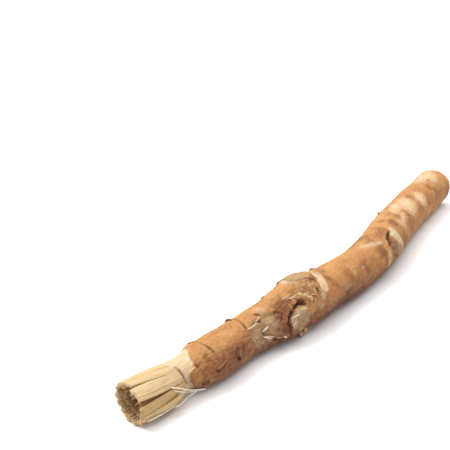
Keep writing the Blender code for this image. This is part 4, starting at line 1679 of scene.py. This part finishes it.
# In the order of Flake's fields: the curls at the ring cracks' tops, then those round the
# peeled place, at the front knot, at the top knot's end and behind it, hanging from the
# front knot, and of the far part and the back
FLAKES = (
    (21.2, 38, 1.9, 1.4, 0.28, 0.75, 100, 0.6, 0.6, 0.25),
    (21, 25, 1.6, 0.9, 0.22, 0.3, 92, 0.6, 0.2, 0, 0.2),
    (33.8, 38, 1.7, 1.3, 0.28, 0.5, 92, 0.6, 0.1, 0, 0.2),
    (33.6, 24, 1.6, 0.9, 0.22, 0.28, 86, 0.6, 0.2, 0, 0.3),
    (36.8, -28, 3.6, 0.8, 0.22, 0.28, 22, 0.2, 0.3, 0.5),
    (38.9, -15, 1.8, 0.8, 0.2, 0.25, -75, 0.3, 0.3, 0.4),
    (42, -114, 2, 0.9, 0.22, 0.5, 20, 0.3, 0.2, 0.1, 0.4),
    (39.8, -110, 1.6, 0.8, 0.2, 0.4, -10, 0.3, 0.1, 0, 0.6),
    (27, -84, 2, 0.7, 0.2, 0.25, 100, 0.3, 0.1, 0.1, 0.3),
    (21.6, -88, 1.8, 0.7, 0.2, 0.25, 60, 0.3, 0.1, 0.1, 0.3),
    (47.6, -33, 2, 1, 0.2, 0.24, -82, 0.4, 0.8, 0.05),
    (46, -43, 1.5, 0.7, 0.18, 0.2, -60, 0.4, 0.6),
    (46.4, -69, 1.2, 0.7, 0.2, 0.4, 8, 0.3, 0.4, 0.8),
    (45.2, -75, 1.1, 0.6, 0.18, 0.4, 25, 0.3, 0.4, 0.6),
    (44.4, -86, 1.2, 0.6, 0.2, 0.3, 96, 0.3, 0.3, 0.7),
    (51.2, -55, 1.7, 0.7, 0.16, 0.25, 78, 0.4, 0.8, 0.1),
    (53.6, -46, 1.8, 0.7, 0.16, 0.22, 60, 0.4, 0.9, 0.1),
    (53, -30, 2, 0.7, 0.16, 0.22, 40, 0.4, 0.9), (55.2, -38, 1.6, 0.7, 0.16, 0.2, 110, 0.4, 0.7),
    (50, -24, 1.8, 0.6, 0.16, 0.2, -40, 0.4, 0.9, 0.1),
    (55.6, -56, 1.6, 0.9, 0.2, 0.3, 50, 0.4, 0.3, 0.5),
    (53.2, 44, 1.4, 0.7, 0.18, 0.5, 130, 0.4, 0.8, 0.1),
    (52.2, 38, 1.2, 0.6, 0.18, 0.35, 150, 0.3, 0.7, 0.1),
    (53.9, 42, 1, 0.5, 0.16, 0.4, 100, 0.2, 0.8, 0.3),
    (62.8, 22, 1.6, 0.7, 0.18, 0.25, 60, 0.4, 0.8, 0.1),
    (64.4, 30, 1.6, 0.8, 0.22, 0.3, 80, 0.4, 0.6),
    (60.6, 36, 1.6, 0.8, 0.22, 0.3, 100, 0.4, 0.7, 0.2),
    (51, -126, 3, 1.8, 0.26, 0.9, 150, 0.5, 0.9, 0.2),
    (50.2, -136, 2.2, 1.6, 0.22, 1.3, 170, 0.4, 0.2, 0.7),
    (113, 48, 1.6, 0.9, 0.25, 0.6, 60, 0.3, 0.9, 0.3),
    (94.2, -35, 3.6, 0.9, 0.25, 0.35, 118, 0.4, 0.3, 0.1), (41.8, 128, 3, 1.4, 0.3, 0.45, 80, 0.4),
    (68, 130, 3, 1, 0.25, 0.35, 95, 0.3), (99, 96, 2.4, 1, 0.25, 0.4, 100, 0.3),
    (56, 78, 2.4, 1.2, 0.25, 0.4, 70, 0.4, 0.7), (49, 70, 2, 1, 0.25, 0.4, 120, 0.4, 0.5),
)


@dataclass
class Flakes:
    """The curled flakes, lips and chips of bark."""

    skin: Skin
    flakes: Sequence[Flake] = tuple(Flake(*row) for row in FLAKES)
    columns: int = 12
    rows: int = 8
    # how far a flake's foot goes down into the wood, in millimetres
    foot: float = 0.45
    # how far its edge is torn off or stands over, how it sags, from where its edge curls,
    # how much narrower it gets, and which part of its width lies behind its place
    torn: Row = (-0.16, 0.1)
    sag: float = 0.05
    curl_from: float = 0.6
    narrowing: float = 0.25
    behind: float = 0.4
    seed: int = 8

    def _add(self, shape: Shape, flake: Flake, chance: np.random.Generator) -> None:
        """Curl one flake out of a grid, thicken it and set it on the bark.

        Args:
            shape: the mesh to add it to.
            flake: the flake.
            chance: the source of its torn edge.
        """
        edge, low = chance.uniform(*self.torn, self.columns + 1), flake.thickness + self.foot
        before = set(shape.verts)
        corners = grid_between(shape, self.columns, self.rows)
        for corner in corners:
            run, rise = corner.co.x - 0.5, corner.co.y
            torn = 1.0 + edge[round(corner.co.x * self.columns)] * rise**2
            arch = math.sin(rise * math.pi / 2) * (1.0 - run * run * rise)
            curl = flake.curl * flake.lift * max(rise - self.curl_from, 0.0) ** 2 * 4
            sag = self.sag * (run * flake.length) ** 2
            height = (low + flake.lift) * arch - low - sag - curl
            along = run * flake.length * (1.0 - self.narrowing * rise)
            across = (rise - self.behind) * flake.width * torn
            corner.co = Vector((along, across, height))
        faces = list(dict.fromkeys(face for corner in corners for face in corner.link_faces))
        bmesh.ops.recalc_face_normals(shape, faces=faces)
        bmesh.ops.solidify(shape, geom=faces, thickness=flake.thickness)
        made = [corner for corner in shape.verts if corner not in before]
        spot = flake.distance, flake.angle
        move = Matrix.Translation(Vector(STEM.place(*spot, self.skin.surface(*spot))))
        matrix = Matrix.Scale(MM, 4) @ move @ STEM.facing(*spot, flake.turn)
        bmesh.ops.transform(shape, matrix=matrix, verts=made)
        for name in WEAR_AND_SHADE:
            layer = shape.verts.layers.float[name]
            for corner in made:
                corner[layer] = getattr(flake, name)

    def build(self) -> Piece:
        """Make every flake.

        Returns:
            The object.
        """
        chance = np.random.default_rng(self.seed)
        shape = bmesh.new()
        for name in WEAR_AND_SHADE:
            shape.verts.layers.float.new(name)
        for flake in self.flakes:
            self._add(shape, flake, chance)
        for corner in shape.verts:
            corner.co.z = max(corner.co.z, CLEARANCE * MM)
        LOG.info("flakes: %d", len(self.flakes))
        return object_of(shape, "bark_flakes")

    def dress(self, piece: Piece) -> None:
        """Give the flakes their finish."""
        carry(piece, FlakeFinish().material())


@dataclass
class Studio:
    """The plain pale floor, the soft light and the camera."""

    camera_place: Row = (-0.1737, -0.0827, 0.0907)
    camera_down: float = 21.1
    camera_turn: float = -55.5
    lens: float = 62.9
    sensor: float = 36.0
    nearest: float = 0.005
    sky: float = 0.66
    sky_colour: Row = (1.0, 0.995, 0.99, 1.0)
    # name, place, size and power
    lamps: Sequence[tuple[str, Row, float, float]] = (
        ("softbox_above", (0.0, 0.0, 1.2), 1.6, 17.0),
        ("softbox_behind", (-0.25, 0.5, 0.85), 0.5, 9.3),
    )
    floor_radius: float = 3.0
    floor_height: float = -0.00003

    def floor(self) -> None:
        """Lay the floor under the stick."""
        shape = bmesh.new()
        bmesh.ops.create_circle(shape, cap_ends=True, segments=64, radius=self.floor_radius)
        bmesh.ops.translate(shape, vec=(0, 0, self.floor_height), verts=shape.verts)
        floor = object_of(shape, "floor")
        floor.data.materials.append(FloorFinish().material())

    def light(self) -> None:
        """Hang a broad soft light above and a smaller one behind on the left, in a pale room."""
        world = bpy.data.worlds.new("room")
        bpy.context.scene.world = world
        world.use_nodes = True
        room = world.node_tree.nodes["Background"].inputs
        room["Color"].default_value = self.sky_colour
        room["Strength"].default_value = self.sky
        for name, place, size, power in self.lamps:
            lamp = bpy.data.lights.new(name, "AREA")
            lamp.shape, lamp.size, lamp.energy = "SQUARE", size, power
            made = bpy.data.objects.new(name, lamp)
            made.location = place
            made.rotation_euler = (-Vector(place)).to_track_quat("-Z", "Y").to_euler()
            bpy.context.scene.collection.objects.link(made)

    def camera(self) -> None:
        """Set the camera down at the photograph's angle."""
        camera = bpy.data.cameras.new("camera")
        camera.lens, camera.sensor_width = self.lens, self.sensor
        camera.clip_start = self.nearest
        made = bpy.data.objects.new("camera", camera)
        made.location = self.camera_place
        down, turn = math.radians(90 - self.camera_down), math.radians(self.camera_turn)
        made.rotation_euler = (down, 0, turn)
        bpy.context.scene.collection.objects.link(made)
        bpy.context.scene.camera = made
        bpy.context.scene.view_settings.view_transform = "Standard"

    def build(self) -> None:
        """Set everything round the stick up."""
        self.floor()
        self.light()
        self.camera()


def main() -> None:
    """Build the pieces in order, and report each."""
    logging.basicConfig(level=logging.INFO, format="%(name)s: %(message)s")
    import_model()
    Studio().build()
    skin = Skin()
    for part in (Trunk(skin), Brush(), LooseFibres(skin), Flakes(skin)):
        piece = part.build()
        part.dress(piece)
        LOG.info("%s: %d faces", piece.name, len(piece.data.polygons))


if __name__ == "__main__":
    main()
